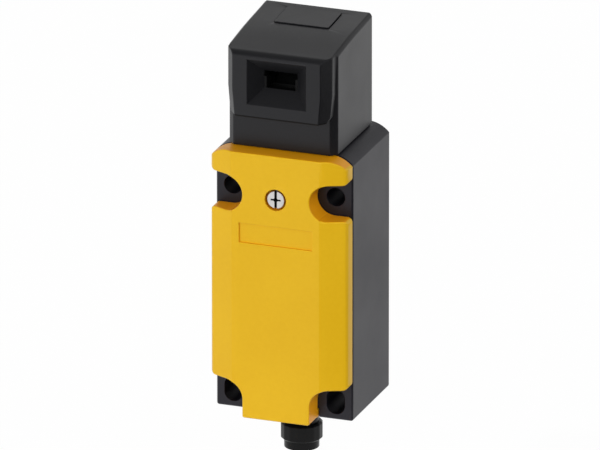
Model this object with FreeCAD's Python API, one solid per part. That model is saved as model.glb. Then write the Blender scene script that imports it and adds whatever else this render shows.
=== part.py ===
import FreeCAD, Part
import math
import os

os.makedirs("parts", exist_ok=True)
V = FreeCAD.Vector

# Sizes in millimetres. X runs to the right seen from the front, Y to the back, Z up.
# The origin is the centre of the four fixing holes on the flat back face.

# Allowances that every form shares
overcut = 1.0        # how far a cut runs past the face that it opens
root = 0.5           # how far joined forms reach into each other
slide_clearance = 0.2
turn_clearance = 0.15
push_gap = 0.1
edge_break = 0.4

# Enclosure and its fixing holes
enclosure_width = 40.0
enclosure_depth = 29.6
fixing_pitch_x = 30.0
fixing_pitch_z = 60.0
fixing_hole_d = 5.3
fixing_slot_length = 7.3
top_margin = 12.4
bottom_margin = 5.3
shoulder_radius = 8.5
shoulder_run = 6.3
bottom_corner_radius = 0.7
rim_width = 2.6
back_wall = 3.0
top_wall = 2.6
bottom_wall = 5.6

# Cover, its screw and its lower hook
parting_gap = 0.25
cover_height = 7.2
cover_side_height = 4.0
cover_flat_width = 25.6
cover_wall = 2.0
cover_edge_break = 0.6
cover_crease_break = 0.15
notch_radius = 5.2
wing_corner_radius = 1.4
tongue_corner_radius = 0.6
label_width = 21.4
label_height = 5.7
label_depth = 0.6
label_z = 19.0
cover_screw_z = 29.7
cover_screw_head_d = 5.6
cover_screw_head_height = 2.2
cover_screw_d = 3.9
cover_screw_sink = 0.3
screw_head_clearance = 0.3
screw_swing_clearance = 0.5
screw_boss_wall = 1.6
screw_slot_width = 0.7
screw_slot_depth = 0.8
crossbar_height = 7.6
crossbar_setback = 1.0
crossbar_gap = 0.5
screw_reach = 4.2
retainer_thickness = 0.5
retainer_width = 1.2
hook_radius = 1.35
hook_clearance = 0.25
hook_rise = 1.4
hook_inset = 1.0
gasket_width = 1.2
gasket_height = 1.2
gasket_fit = 0.05

# Head, its snout and key openings
head_width = 31.8
head_depth = 29.5
head_axis_inset = 17.15
head_gap = 0.2
head_corner_break = 1.75
head_rear_break = 0.4
head_back_height = 32.2
roof_slope_deg = 5.8
roof_edge_break = 0.85
roof_front_radius = 2.6
head_wall = 2.5
head_roof_wall = 2.2
snout_length = 4.3
snout_width = 30.5
snout_flank_width = 2.4
snout_flank_depth = 3.2
snout_rise = 9.9
snout_taper = 0.65
snout_taper_height = 8.0
snout_foot_break = 0.9
snout_foot_lean = 1.6
mouth_width = 17.4
mouth_height = 12.9
mouth_rise = 19.7
mouth_depth = 3.8
throat_width = 9.6
throat_lower_width = 8.4
throat_height = 5.0
throat_rise = 20.0
throat_step = 1.7
cap_width = 16.1
cap_length = 11.0
cap_back_margin = 3.0
cap_proud = 0.3
cap_thickness = 1.1
cap_plug_depth = 3.0
cap_corner_radius = 0.6
cap_wall = 0.8
cap_fit = 0.1

# Head base, its spigot, fork and seal
base_thickness = 2.4
base_fit = 0.1
spigot_margin = 0.5
spigot_length = 7.2
fork_thickness = 2.0
fork_grip = 1.4
fork_margin = 0.3
fork_tab_width = 5.0
fork_tab_drop = 0.6
ledge_height = 1.2
ledge_gap = 0.6
seal_gap = 1.0
seal_width = 1.6
seal_height = 0.95
seal_lift = 0.05
cheek_gap = 0.5
cheek_thickness = 3.0
cheek_length = 11.0
head_screw_d = 2.5
head_screw_head_d = 4.4
head_screw_reach = 6.0
head_screw_room = 0.4
head_post_size = 5.0
head_post_height = 8.0

# Rotor and plunger
rotor_clearance = 0.8
rotor_radius = 9.2
rotor_width = 11.0
rotor_turn_deg = 65.0
cam_drop = 3.0
cam_dwell_deg = 25.0
cam_lift_deg = 5.0
axle_radius = 2.0
axle_fit = 0.02
rotor_fit = 0.06
pocket_width = 4.6
pocket_depth = 3.8
pocket_angle_deg = 45.0
nose_radius = 2.0
nose_gap = 0.35
collar_radius = 3.5
collar_height = 1.2
stem_radius = 1.6
stem_reach = 0.8

# Contact block, carrier and contacts
block_half_width = 13.3
block_depth = 19.0
block_clearance = 0.8
block_floor = 1.8
row_pitch = 9.3
first_row_drop = 5.2
carrier_width = 4.8
carrier_depth = 4.0
carrier_floor = 1.45
bridge_end_gap = 0.6
bridge_width = 2.4
bridge_thickness = 0.8
bridge_fit = 0.05
rivet_radius = 1.0
rivet_height = 0.5
contact_gap = 0.1
strip_thickness = 0.8
strip_width = 3.0
terminal_pocket_width = 5.7
chamber_wall = 1.0
chamber_room = 0.4
pocket_room_above = 0.1
pocket_room_below = 0.3
plate_thickness = 1.0
plate_offset = 1.15
terminal_screw_d = 3.0
terminal_head_d = 4.8
terminal_head_height = 1.8
terminal_reach = 6.0
clamp_size = 5.2
clamp_thickness = 0.8
wire_slot = 1.0
contact_spring_height = 2.0
contact_spring_radius = 0.85
contact_spring_wire = 0.3
contact_spring_turns = 3
return_spring_length = 4.5
return_spring_radius = 1.5
return_spring_wire = 0.45
return_spring_turns = 5
plunger_spring_radius = 2.75
plunger_spring_wire = 0.5
plunger_spring_turns = 4
coil_slant = 1.3     # room for the slant of a turn, in wire widths
foot_height = 5.0
foot_depth = 5.0
block_screw_d = 2.4
block_screw_head_d = 4.4
block_screw_head_height = 1.6
block_screw_x = 9.0
screw_bite = 1.6

# Connector under the enclosure
plug_inset = 15.75
shank_radius = 7.9
shank_fit = 0.1
shank_rise = 0.6
flange_radius = 9.6
flange_thickness = 1.1
plug_seal_thickness = 0.6
plug_seal_width = 1.3
neck_radius = 4.8
neck_length = 5.1
ring_radius = 5.9
ring_length = 5.3
ring_edge_break = 0.6
nose_sleeve_radius = 4.9
nose_sleeve_length = 2.3
socket_radius = 4.2
socket_depth = 8.6
insert_fit = 0.05
insert_core_radius = 3.5
insert_face_height = 1.2
insert_rise = 1.2
key_width = 1.0
key_height = 0.6
pin_radius = 0.5
pin_circle_radius = 2.6
pin_recess = 1.2
pin_tail = 2.4
wire_radius = 0.65
conductor_radius = 0.42
wire_clearance = 0.55
wire_lane_step = 1.6
wire_drop = 1.8
wire_level_step = 3.4
wire_corner = 1.2
wire_tight_corner = 0.45
conductor_end_gap = 0.6

# Places that follow from the sizes
half_width = enclosure_width / 2
hole_x = fixing_pitch_x / 2
hole_z = fixing_pitch_z / 2
top_z = hole_z + top_margin
bottom_z = -hole_z - bottom_margin
front_y = -enclosure_depth
cover_back_y = front_y - parting_gap
cover_front_y = cover_back_y - cover_height
cover_side_y = cover_back_y - cover_side_height
cavity_half = half_width - rim_width
cavity_notch = notch_radius + rim_width
neck_half = hole_x - cavity_notch
cavity_top = top_z - top_wall
cavity_bottom = bottom_z + bottom_wall
tongue_half = hole_x - notch_radius
hook_y = front_y + hook_inset
hook_z = bottom_z + hook_rise

axis_y = -head_axis_inset
head_z = top_z + head_gap
head_front_y = axis_y - head_depth / 2
head_back_y = axis_y + head_depth / 2
roof_back_z = head_z + head_back_height
roof_rise = math.tan(math.radians(roof_slope_deg))
snout_front_y = head_front_y - snout_length
snout_z = head_z + snout_rise
head_inner_half = head_width / 2 - head_wall
head_inner_front = head_front_y + head_wall
head_inner_back = head_back_y - head_wall
roof_inner_z = roof_back_z - roof_rise * (head_back_y - head_inner_front) - head_roof_wall
mouth_z = head_z + mouth_rise
throat_z = head_z + throat_rise

base_top = head_z + base_thickness
spigot_radius = neck_half - spigot_margin
spigot_z = head_z - spigot_length
groove_radius = spigot_radius - fork_grip
groove_top = cavity_top - fork_margin
fork_z = groove_top - turn_clearance - fork_thickness
groove_z = fork_z - turn_clearance
fork_inner = groove_radius + turn_clearance
fork_outer = neck_half - fork_margin
fork_front = axis_y - spigot_radius - fork_grip * 2.5
fork_back = axis_y + spigot_radius + fork_grip * 2
crossbar_front_y = front_y + crossbar_setback
crossbar_back_y = axis_y - spigot_radius - crossbar_gap
seal_inner_radius = spigot_radius + seal_gap
seal_outer_radius = seal_inner_radius + seal_width
cheek_inner = rotor_width / 2 + cheek_gap
cheek_outer = cheek_inner + cheek_thickness

rotor_z = base_top + rotor_clearance + rotor_radius
nose_z = rotor_z - rotor_radius - nose_gap
nose_centre_z = nose_z - nose_radius
collar_z = nose_centre_z - collar_height
chamber_z = groove_top
chamber_radius = collar_radius + slide_clearance
stem_z = spigot_z - stem_reach

pocket_inner = block_half_width - terminal_pocket_width
chamber_half = pocket_inner - chamber_wall
bridge_half = chamber_half - bridge_end_gap
rivet_x = bridge_half - rivet_radius
strip_inner = rivet_x - rivet_radius
terminal_x = (pocket_inner + block_half_width) / 2
carrier_half_y = carrier_depth / 2
carrier_half_x = carrier_width / 2
block_top = hole_z - cavity_notch - block_clearance
block_back_y = -back_wall
block_front_y = block_back_y - block_depth
row_z = [block_top - first_row_drop - row_pitch * i for i in range(3)]
plate_back_y = axis_y + plate_offset
plate_front_y = plate_back_y - plate_thickness
wire_y = plate_front_y - wire_slot / 2
clamp_back_y = plate_front_y - wire_slot
clamp_front_y = clamp_back_y - clamp_thickness
tip_stack = bridge_thickness / 2 + 2 * rivet_height + contact_gap
nc_rest = -2 * bridge_thickness
no_rest = -bridge_thickness / 2
nc_strip = nc_rest + tip_stack + cam_drop
no_strip = no_rest - tip_stack - strip_thickness
pocket_low = pocket_room_below - no_strip
pocket_high = nc_strip + strip_thickness + pocket_room_above
carrier_z = row_z[2] + no_rest - bridge_thickness / 2 - bridge_fit - carrier_floor
carrier_top = stem_z - push_gap
spring_floor_z = carrier_z - return_spring_length
block_z = spring_floor_z - block_floor
foot_z = block_z - foot_height
foot_screw_z = foot_z + foot_height / 2
foot_front_y = block_back_y - foot_depth

plug_y = -plug_inset
flange_z = bottom_z - plug_seal_thickness
neck_z = flange_z - flange_thickness
ring_z = neck_z - neck_length
sleeve_z = ring_z - ring_length
plug_z = sleeve_z - nose_sleeve_length
socket_z = plug_z + socket_depth
insert_face_z = socket_z - insert_face_height
shank_top = cavity_bottom + shank_rise
insert_top = shank_top + insert_rise
pin_top = insert_top + pin_tail
pin_offset = pin_circle_radius * math.sqrt(0.5)
wire_x = block_half_width + wire_clearance + wire_radius


def box(x0, x1, y0, y1, z0, z1):
    return Part.makeBox(x1 - x0, y1 - y0, z1 - z0, V(x0, y0, z0))


def rod(radius, start, end):
    way = end - start
    return Part.makeCylinder(radius, way.Length, start, way)


def rod_x(radius, x0, x1, y, z):
    return rod(radius, V(x0, y, z), V(x1, y, z))


def rod_y(radius, x, z, y0, y1):
    return rod(radius, V(x, y0, z), V(x, y1, z))


def rod_z(radius, x, y, z0, z1):
    return rod(radius, V(x, y, z0), V(x, y, z1))


def line(a, b):
    return Part.LineSegment(a, b).toShape()


def arc(a, b, c):
    return Part.Arc(a, b, c).toShape()


def prism(edges, way):
    wire = Part.Wire(Part.__sortEdges__(edges))
    return Part.Face(wire).extrude(way)


def turned(points, y):
    """A solid of revolution about an upright axis at x 0, from points of radius and height."""
    path = [V(r, y, z) for r, z in points]
    face = Part.Face(Part.makePolygon(path + path[:1]))
    return face.revolve(V(0, y, 0), V(0, 0, 1), 360)


def mirrored(shape):
    return shape.mirror(V(0, 0, 0), V(1, 0, 0))


def both_sides(shape):
    return [shape, mirrored(shape)]


def fused(shapes):
    return shapes[0].multiFuse(shapes[1:]).removeSplitter()


def group(shapes):
    return Part.makeCompound(shapes)


def edges_along(shape, axis):
    """The straight edges of a shape that run along an axis."""
    straight = [e for e in shape.Edges if e.Curve.TypeId == "Part::GeomLine"]
    return [e for e in straight if abs(e.Curve.Direction.dot(axis)) > 0.999]


def edges_at_front(shape, y):
    """The edges of a shape that lie in the upright plane at y."""
    return [e for e in shape.Edges if max(abs(e.BoundBox.YMin - y), abs(e.BoundBox.YMax - y)) < axle_fit]


def upright_rounded_box(x0, x1, y0, y1, z0, z1, radius):
    shape = box(x0, x1, y0, y1, z0, z1)
    return shape.makeFillet(radius, edges_along(shape, V(0, 0, 1)))


def slotted_screw(x, z, front, head_d, head_height, shank_d, tip, slot_upright):
    """A screw along Y: a head with a broken edge and a driver slot, and a plain shank to the tip."""
    seat = front + head_height
    head = rod_y(head_d / 2, x, z, front, seat)
    head = head.makeChamfer(edge_break, edges_at_front(head, front))
    shank = rod_y(shank_d / 2, x, z, seat - root, tip)
    across = screw_slot_width / 2
    along = head_d / 2 + overcut
    wide = across if slot_upright else along
    tall = along if slot_upright else across
    slot = box(x - wide, x + wide, front - overcut, front + screw_slot_depth, z - tall, z + tall)
    return fused([head, shank]).cut(slot)


def enclosure_prism(y0, y1):
    """The front outline of the enclosure, with its curved shoulders, run from y0 to y1."""
    centre_x = half_width - shoulder_run
    centre_z = top_z - shoulder_radius
    shoulder_z = centre_z + math.sqrt(shoulder_radius ** 2 - shoulder_run ** 2)
    middle = math.asin(shoulder_run / shoulder_radius) / 2
    peak = V(centre_x, y0, top_z)
    bend = V(centre_x + shoulder_radius * math.sin(middle), y0,
             centre_z + shoulder_radius * math.cos(middle))
    shoulder = V(half_width, y0, shoulder_z)
    r = bottom_corner_radius
    bulge = r * (1 - math.sqrt(0.5))
    lower = V(half_width, y0, bottom_z + r)
    turn = V(half_width - bulge, y0, bottom_z + bulge)
    floor = V(half_width - r, y0, bottom_z)
    half = [
        line(V(0, y0, bottom_z), floor),
        arc(floor, turn, lower),
        line(lower, shoulder),
        arc(shoulder, bend, peak),
        line(peak, V(0, y0, top_z)),
    ]
    return prism(half + [mirrored(e) for e in half], V(0, y1 - y0, 0))


def notches(grow, y0, y1, closed_top):
    """The clear spaces round the four fixing screws, grown by the given amount."""
    r = notch_radius + grow
    out = half_width + overcut
    low = bottom_z - overcut
    roof = top_z + overcut if closed_top else hole_z + r
    side = [
        rod_y(r, hole_x, hole_z, y0, y1),
        rod_y(r, hole_x, -hole_z, y0, y1),
        box(hole_x, out, y0, y1, hole_z - r, roof),
        box(hole_x, out, y0, y1, low, -hole_z + r),
        box(hole_x - r, out, y0, y1, low, -hole_z),
    ]
    if closed_top:
        side.append(box(hole_x - r, out, y0, y1, hole_z, roof))
    return [s for shape in side for s in both_sides(shape)]


def inner_prism(inset, low, high, y0, y1):
    """A plain rectangle less the grown screw spaces: the sealed inside of the enclosure."""
    w = half_width - inset
    return box(-w, w, y0, y1, low, high).cut(notches(inset, y0, y1, True))


def make_housing():
    body = enclosure_prism(0, front_y)
    body = body.makeChamfer(edge_break, edges_at_front(body, front_y))
    body = body.cut(inner_prism(rim_width, cavity_bottom, cavity_top, front_y - overcut, -back_wall))
    wall = neck_half + root
    crossbar = box(-wall, wall, crossbar_front_y, crossbar_back_y,
                   cover_screw_z - crossbar_height / 2, cover_screw_z + crossbar_height / 2)
    ledge_inner = fork_inner + fork_grip / 2
    reach = spigot_radius + ledge_gap
    front_ledge = box(ledge_inner, wall, fork_front, axis_y - reach, fork_z - ledge_height, fork_z)
    back_ledge = box(ledge_inner, wall, axis_y + reach, fork_back, fork_z - ledge_height, fork_z)
    body = fused([body, crossbar] + both_sides(front_ledge) + both_sides(back_ledge))
    r = fixing_hole_d / 2
    y0 = front_y - overcut
    y1 = overcut
    half_slot = (fixing_slot_length - fixing_hole_d) / 2
    slot = fused([
        rod_y(r, hole_x, -hole_z + half_slot, y0, y1),
        rod_y(r, hole_x, -hole_z - half_slot, y0, y1),
        box(hole_x - r, hole_x + r, y0, y1, -hole_z - half_slot, -hole_z + half_slot),
    ])
    cuts = both_sides(rod_y(r, hole_x, hole_z, y0, y1)) + both_sides(slot)
    cuts.append(rod_z(spigot_radius + turn_clearance, 0, axis_y, cavity_top - overcut, top_z + overcut))
    cuts.append(rod_z(shank_radius + shank_fit, 0, plug_y, bottom_z - overcut, cavity_bottom + overcut))
    cuts.append(rod_y(cover_screw_d / 2 + screw_swing_clearance, 0, cover_screw_z,
                      crossbar_front_y - overcut, crossbar_back_y + overcut))
    groove_half = tongue_half + hook_clearance
    cuts.append(rod_x(hook_radius + hook_clearance, -groove_half, groove_half, hook_y, hook_z))
    cuts.append(box(-groove_half, groove_half, y0, hook_y, bottom_z - overcut, hook_z))
    cuts += both_sides(rod_y(block_screw_d / 2, block_screw_x, foot_screw_z, block_back_y - overcut,
                             block_back_y + screw_bite + slide_clearance))
    return body.cut(cuts)


def cover_profile(side_inset, flank_inset, front):
    """The cover's section seen from above, set in from its sides and flanks, as a tall prism."""
    corner = V(half_width, cover_side_y, 0)
    slope = V(cover_flat_width / 2, cover_front_y, 0) - corner
    slope.normalize()
    start = corner + V(slope.y, -slope.x, 0) * flank_inset
    w = half_width - side_inset
    side_corner = start + slope * ((w - start.x) / slope.x)
    front_corner = start + slope * ((front - start.y) / slope.y)
    side_break = cover_edge_break
    crease = cover_crease_break
    back = cover_back_y + overcut
    outline = [
        V(0, back, 0),
        V(w, back, 0),
        side_corner + V(0, side_break, 0),
        side_corner + slope * side_break,
        front_corner - slope * crease,
        front_corner - V(crease, 0, 0),
        V(0, front, 0),
    ]
    half = [line(a, c) for a, c in zip(outline, outline[1:])]
    shape = prism(half + [mirrored(e) for e in half], V(0, 0, top_z - bottom_z + 2 * overcut))
    shape.translate(V(0, 0, bottom_z - overcut))
    return shape


def cover_corners(shape):
    """Rounds the outer corners of the wings and flanks, and those of the lower tongue."""
    upright = edges_along(shape, V(0, 1, 0))
    heights = (hole_z + notch_radius, hole_z - notch_radius, notch_radius - hole_z)
    outer = [e for e in upright if abs(abs(e.CenterOfMass.x) - half_width) < axle_fit]
    wings = [e for e in outer if min(abs(e.CenterOfMass.z - z) for z in heights) < axle_fit]
    shape = shape.makeFillet(wing_corner_radius, wings)
    low = [e for e in edges_along(shape, V(0, 1, 0)) if abs(e.CenterOfMass.z - bottom_z) < axle_fit]
    tongue = [e for e in low if abs(abs(e.CenterOfMass.x) - tongue_half) < axle_fit]
    return shape.makeFillet(tongue_corner_radius, tongue)


def make_cover():
    shell = enclosure_prism(cover_back_y, cover_front_y)
    shell = shell.cut(notches(0, cover_front_y - overcut, cover_back_y + overcut, False))
    shell = cover_corners(shell.removeSplitter())
    shell = shell.common(cover_profile(0, 0, cover_front_y))
    front = cover_front_y + cover_wall
    hollow = inner_prism(rim_width, cavity_bottom, cavity_top, front, cover_back_y + overcut)
    shell = shell.cut(hollow.common(cover_profile(rim_width, cover_wall, front)))
    boss_radius = cover_screw_d / 2 + screw_head_clearance + screw_boss_wall
    boss = rod_y(boss_radius, 0, cover_screw_z, front - root, cover_back_y - parting_gap)
    bead = rod_x(hook_radius, -tongue_half, tongue_half, hook_y, hook_z)
    web = box(-tongue_half, tongue_half, cover_back_y - root, hook_y, hook_z - hook_radius, hook_z)
    shell = fused([shell, boss, bead, web])
    out = cover_front_y - overcut
    head_seat = cover_front_y + cover_screw_sink + cover_screw_head_height
    sink = rod_y(cover_screw_head_d / 2 + screw_head_clearance, 0, cover_screw_z, out, head_seat)
    hole = rod_y((cover_screw_d + screw_head_clearance) / 2, 0, cover_screw_z, out, cover_back_y + overcut)
    label = box(-label_width / 2, label_width / 2, out, cover_front_y + label_depth,
                label_z - label_height / 2, label_z + label_height / 2)
    return shell.cut([sink, hole, label, gasket_ring(0)])


def gasket_ring(fit):
    """The ring in the cover's rim; fit makes it smaller than its groove."""
    middle = rim_width / 2
    half = gasket_width / 2 - fit
    low = cavity_bottom - middle
    high = cavity_top + middle
    back = front_y - gasket_fit
    front = cover_back_y - gasket_height + fit
    ring = inner_prism(middle - half, low - half, high + half, front, back)
    return ring.cut(inner_prism(middle + half, low + half, high - half, front - overcut, back + overcut))


def make_cover_gasket():
    return gasket_ring(gasket_fit)


def make_cover_screw():
    front = cover_front_y + cover_screw_sink
    return slotted_screw(0, cover_screw_z, front, cover_screw_head_d, cover_screw_head_height, cover_screw_d,
                         crossbar_front_y + screw_reach, True)


def make_screw_retainer():
    back = crossbar_front_y - slide_clearance
    front = back - retainer_thickness
    r = cover_screw_d / 2 + axle_fit
    disc = rod_y(r + retainer_width, 0, cover_screw_z, front, back)
    return disc.cut(rod_y(r, 0, cover_screw_z, front - overcut, back + overcut))


def make_head_housing():
    w = head_width / 2
    tall = roof_back_z + overcut
    body = box(-w, w, head_front_y, head_back_y, head_z, tall)
    front_corners = [e for e in edges_along(body, V(0, 0, 1)) if e.CenterOfMass.y < axis_y]
    body = body.makeChamfer(head_corner_break, front_corners)
    rear_corners = [e for e in edges_along(body, V(0, 0, 1)) if e.CenterOfMass.y > axis_y]
    body = body.makeChamfer(head_rear_break, rear_corners)
    shell = body.fuse(make_snout(tall)).common(roof_limit()).removeSplitter()
    inside = box(-head_inner_half, head_inner_half, head_inner_front, head_inner_back, head_z - overcut,
                 roof_inner_z)
    post_inner = head_inner_half - head_post_size
    post_outer = head_inner_half + root
    post_top = base_top + head_post_height
    back_post = box(post_inner, post_outer, head_inner_back - head_post_size, head_inner_back + root,
                    base_top, post_top)
    front_post = box(post_inner, post_outer, head_inner_front - root, head_inner_front + head_post_size,
                     base_top, post_top)
    inside = inside.cut(both_sides(back_post) + both_sides(front_post))
    cuts = [inside, funnel(), cap_seat()]
    cuts += [head_screw_hole(x, y) for x, y in head_screw_places()]
    return shell.cut(cuts)


def snout_section(half, z):
    """The snout seen from above: a flat front, slanting flanks and short straight sides."""
    y = snout_front_y
    back = head_front_y + head_corner_break + root
    side = [V(half - snout_flank_width, y, z), V(half, y + snout_flank_depth, z), V(half, back, z)]
    points = side + [V(-p.x, p.y, z) for p in reversed(side)]
    return Part.makePolygon(points + points[:1])


def make_snout(tall):
    """The snout, drawn in towards its foot, with broken lower corners."""
    half = snout_width / 2
    bend_z = snout_z + snout_taper_height
    wide = snout_section(half, bend_z)
    upper = Part.Face(wide).extrude(V(0, 0, tall - bend_z))
    lower = Part.makeLoft([snout_section(half - snout_taper, snout_z), wide], True, True)
    foot = V(half - snout_taper - snout_foot_break, snout_front_y - overcut, snout_z)
    reach = half + overcut - foot.x
    corner = [foot, foot + V(reach, 0, 0), foot + V(reach, 0, reach * snout_foot_lean)]
    sides = [line(a, b) for a, b in zip(corner, corner[1:] + corner[:1])]
    cut = prism(sides, V(0, snout_length + head_corner_break + 2 * overcut, 0))
    return fused([upper, lower]).cut(both_sides(cut))


def roof_limit():
    """The head's side outline, with a sloping roof and a rounded front edge, and broken roof flanks."""
    x0 = -head_width
    slope = math.radians(roof_slope_deg)
    edge_z = roof_back_z - roof_rise * (head_back_y - snout_front_y)
    r = roof_front_radius
    along = V(0, math.cos(slope), math.sin(slope))
    corner = V(x0, snout_front_y, edge_z)
    half_angle = (math.pi / 2 + slope) / 2
    run = r / math.tan(half_angle)
    start = corner - V(0, 0, run)
    end = corner + along * run
    bisector = (V(0, 0, -1) + along).normalize()
    middle = corner + bisector * (r / math.sin(half_angle) - r)
    back = V(x0, head_back_y, roof_back_z)
    foot = V(x0, snout_front_y, head_z)
    heel = V(x0, head_back_y, head_z)
    edges = [line(foot, start), arc(start, middle, end), line(end, back), line(back, heel), line(heel, foot)]
    side = prism(edges, V(2 * head_width, 0, 0))
    w = head_width / 2
    reach = head_depth + snout_length
    ridge = box(-w, w, -2 * reach, reach, -2 * head_back_height, 0)
    shoulders = [e for e in edges_along(ridge, V(0, 1, 0)) if abs(e.CenterOfMass.z) < axle_fit]
    return side.common(on_roof(ridge.makeChamfer(roof_edge_break, shoulders)))


def rectangle(width, height, y, z):
    corners = [V(sx * width / 2, y, z + sz * height / 2) for sx, sz in ((-1, -1), (1, -1), (1, 1), (-1, 1))]
    return Part.makePolygon(corners + corners[:1])


def funnel():
    """The key opening in the snout: a tapering mouth and a stepped throat."""
    y = snout_front_y
    mouth = rectangle(mouth_width, mouth_height, y, mouth_z)
    deep = rectangle(throat_width, throat_height, y + mouth_depth, throat_z)
    cone = Part.makeLoft([mouth, deep], True, True)
    low = throat_z - throat_height / 2
    high = throat_z + throat_height / 2
    y0 = y + mouth_depth - push_gap
    y1 = head_inner_front + overcut
    upper = box(-throat_width / 2, throat_width / 2, y0, y1, high - throat_step, high)
    lower = box(-throat_lower_width / 2, throat_lower_width / 2, y0, y1, low, high)
    return fused([cone, upper, lower])


def on_roof(shape):
    """Moves a shape drawn on a level roof, with its back edge at y 0, onto the sloping roof."""
    moved = shape.copy()
    moved.rotate(V(0, 0, 0), V(1, 0, 0), roof_slope_deg)
    moved.translate(V(0, head_back_y, roof_back_z))
    return moved


def cap_body(fit, top, deep):
    """The cap of the upper key slot on a level roof: a plate and the plug under it."""
    y1 = -cap_back_margin - fit
    y0 = -cap_back_margin - cap_length + fit
    w = cap_width / 2 - fit
    middle = (y0 + y1) / 2
    plate = upright_rounded_box(-w, w, y0, y1, cap_proud - cap_thickness, top, cap_corner_radius)
    plug = box(-throat_width / 2 + fit, throat_width / 2 - fit, middle - throat_height / 2 + fit,
               middle + throat_height / 2 - fit, -deep, 0)
    return fused([plate, plug])


def cap_seat():
    return on_roof(cap_body(0, cap_proud + overcut, head_back_height / 4))


def make_top_slot_cap():
    shape = cap_body(cap_fit, cap_proud, cap_plug_depth)
    middle = -cap_back_margin - cap_length / 2
    half = throat_height / 2 - cap_wall
    hollow = box(-throat_width / 2 + cap_wall, throat_width / 2 - cap_wall, middle - half, middle + half,
                 -cap_plug_depth - overcut, -cap_thickness)
    return on_roof(shape.cut(hollow))


def head_screw_places():
    x = head_inner_half - head_post_size / 2
    rows = (head_inner_front + head_post_size / 2, head_inner_back - head_post_size / 2)
    return [(sx * x, y) for sx in (-1, 1) for y in rows]


def head_screw_hole(x, y):
    top = base_top + head_screw_reach + head_screw_room
    return rod_z(head_screw_d / 2 + axle_fit, x, y, head_z - overcut, top)


def screw_sink(x, y, fit):
    wide = head_screw_head_d / 2
    narrow = head_screw_d / 2
    return Part.makeCone(wide + fit, narrow + fit, wide - narrow, V(x, y, head_z), V(0, 0, 1))


def seal_ring(fit, z0, z1):
    ring = rod_z(seal_outer_radius + fit, 0, axis_y, z0, z1)
    return ring.cut(rod_z(seal_inner_radius - fit, 0, axis_y, z0 - overcut, z1 + overcut))


def make_head_base():
    x = head_inner_half - base_fit
    plate = box(-x, x, head_inner_front + base_fit, head_inner_back - base_fit, head_z, base_top)
    spigot = rod_z(spigot_radius, 0, axis_y, spigot_z, head_z + root)
    half = cheek_length / 2
    cheek = box(cheek_inner, cheek_outer, axis_y - half, axis_y + half, base_top - root, rotor_z)
    ear = rod_x(half, cheek_inner, cheek_outer, axis_y, rotor_z)
    shape = fused([plate, spigot] + both_sides(cheek) + both_sides(ear))
    above = base_top + overcut
    groove = rod_z(spigot_radius + overcut, 0, axis_y, groove_z, groove_top)
    groove = groove.cut(rod_z(groove_radius, 0, axis_y, groove_z - overcut, groove_top + overcut))
    cuts = [
        groove,
        rod_z(chamber_radius, 0, axis_y, chamber_z, above),
        rod_z(stem_radius + slide_clearance, 0, axis_y, spigot_z - overcut, above),
        rod_x(axle_radius + axle_fit, -cheek_outer - overcut, cheek_outer + overcut, axis_y, rotor_z),
        seal_ring(gasket_fit, head_z - overcut, top_z + seal_lift + seal_height + gasket_fit),
    ]
    for px, py in head_screw_places():
        cuts.append(head_screw_hole(px, py))
        cuts.append(screw_sink(px, py, axle_fit))
    return shape.cut(cuts)


def make_head_screws():
    screws = []
    for x, y in head_screw_places():
        shank = rod_z(head_screw_d / 2, x, y, head_z + root, base_top + head_screw_reach)
        screws.append(fused([screw_sink(x, y, 0), shank]))
    return group(screws)


def make_head_seal():
    z0 = top_z + seal_lift
    return seal_ring(0, z0, z0 + seal_height)


def make_rotor_axle():
    return rod_x(axle_radius, -cheek_outer, cheek_outer, axis_y, rotor_z)


def rotor_point(radius, degrees):
    a = math.radians(degrees)
    return V(-rotor_width / 2, axis_y + radius * math.cos(a), rotor_z + radius * math.sin(a))


def make_rotor():
    """A drum with two key pockets, and a spiral that leaves its lowest point as the drum turns."""
    low = rotor_radius - cam_drop
    steps = 8
    ramp = [rotor_point(rotor_radius - cam_drop * i / steps, -90 + rotor_turn_deg * i / steps)
            for i in range(steps + 1)]
    curve = Part.BSplineCurve()
    curve.interpolate(ramp)
    end = -90 + rotor_turn_deg
    lift_start = end + cam_dwell_deg
    lift_end = lift_start + cam_lift_deg
    edges = [
        arc(rotor_point(rotor_radius, lift_end), rotor_point(rotor_radius, (lift_end + 270) / 2),
            rotor_point(rotor_radius, 270)),
        curve.toShape(),
        arc(ramp[-1], rotor_point(low, (end + lift_start) / 2), rotor_point(low, lift_start)),
        line(rotor_point(low, lift_start), rotor_point(rotor_radius, lift_end)),
    ]
    disc = prism(edges, V(rotor_width, 0, 0))
    cuts = [rod_x(axle_radius + rotor_fit, -rotor_width, rotor_width, axis_y, rotor_z)]
    for side in (-1, 1):
        pocket = box(-rotor_width, rotor_width, axis_y - pocket_width / 2, axis_y + pocket_width / 2,
                     rotor_z + rotor_radius - pocket_depth, rotor_z + rotor_radius * 2)
        pocket.rotate(V(0, axis_y, rotor_z), V(1, 0, 0), side * pocket_angle_deg)
        cuts.append(pocket)
    return disc.cut(cuts)


def make_plunger():
    ball = Part.makeSphere(nose_radius, V(0, axis_y, nose_centre_z))
    collar = rod_z(collar_radius, 0, axis_y, collar_z, nose_centre_z)
    stem = rod_z(stem_radius, 0, axis_y, stem_z, collar_z + root)
    return fused([ball, collar, stem])


def coil(radius, wire, turns, z0, z1):
    """A spring of square wire about the head's axis, wound in straight steps between two heights."""
    per_turn = 10
    count = per_turn * turns
    a = wire / 2
    rise = z1 - z0 - wire * coil_slant
    path = []
    for i in range(count + 1):
        t = 2 * math.pi * i / per_turn
        z = z0 + a * coil_slant + rise * i / count
        path.append(V(radius * math.cos(t), axis_y + radius * math.sin(t), z))
    section = [path[0] + V(sx * a, 0, sz * a) for sx, sz in ((-1, -1), (1, -1), (1, 1), (-1, 1))]
    profile = Part.makePolygon(section + section[:1])
    return Part.makePolygon(path).makePipeShell([profile], True, False, 1)


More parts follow.
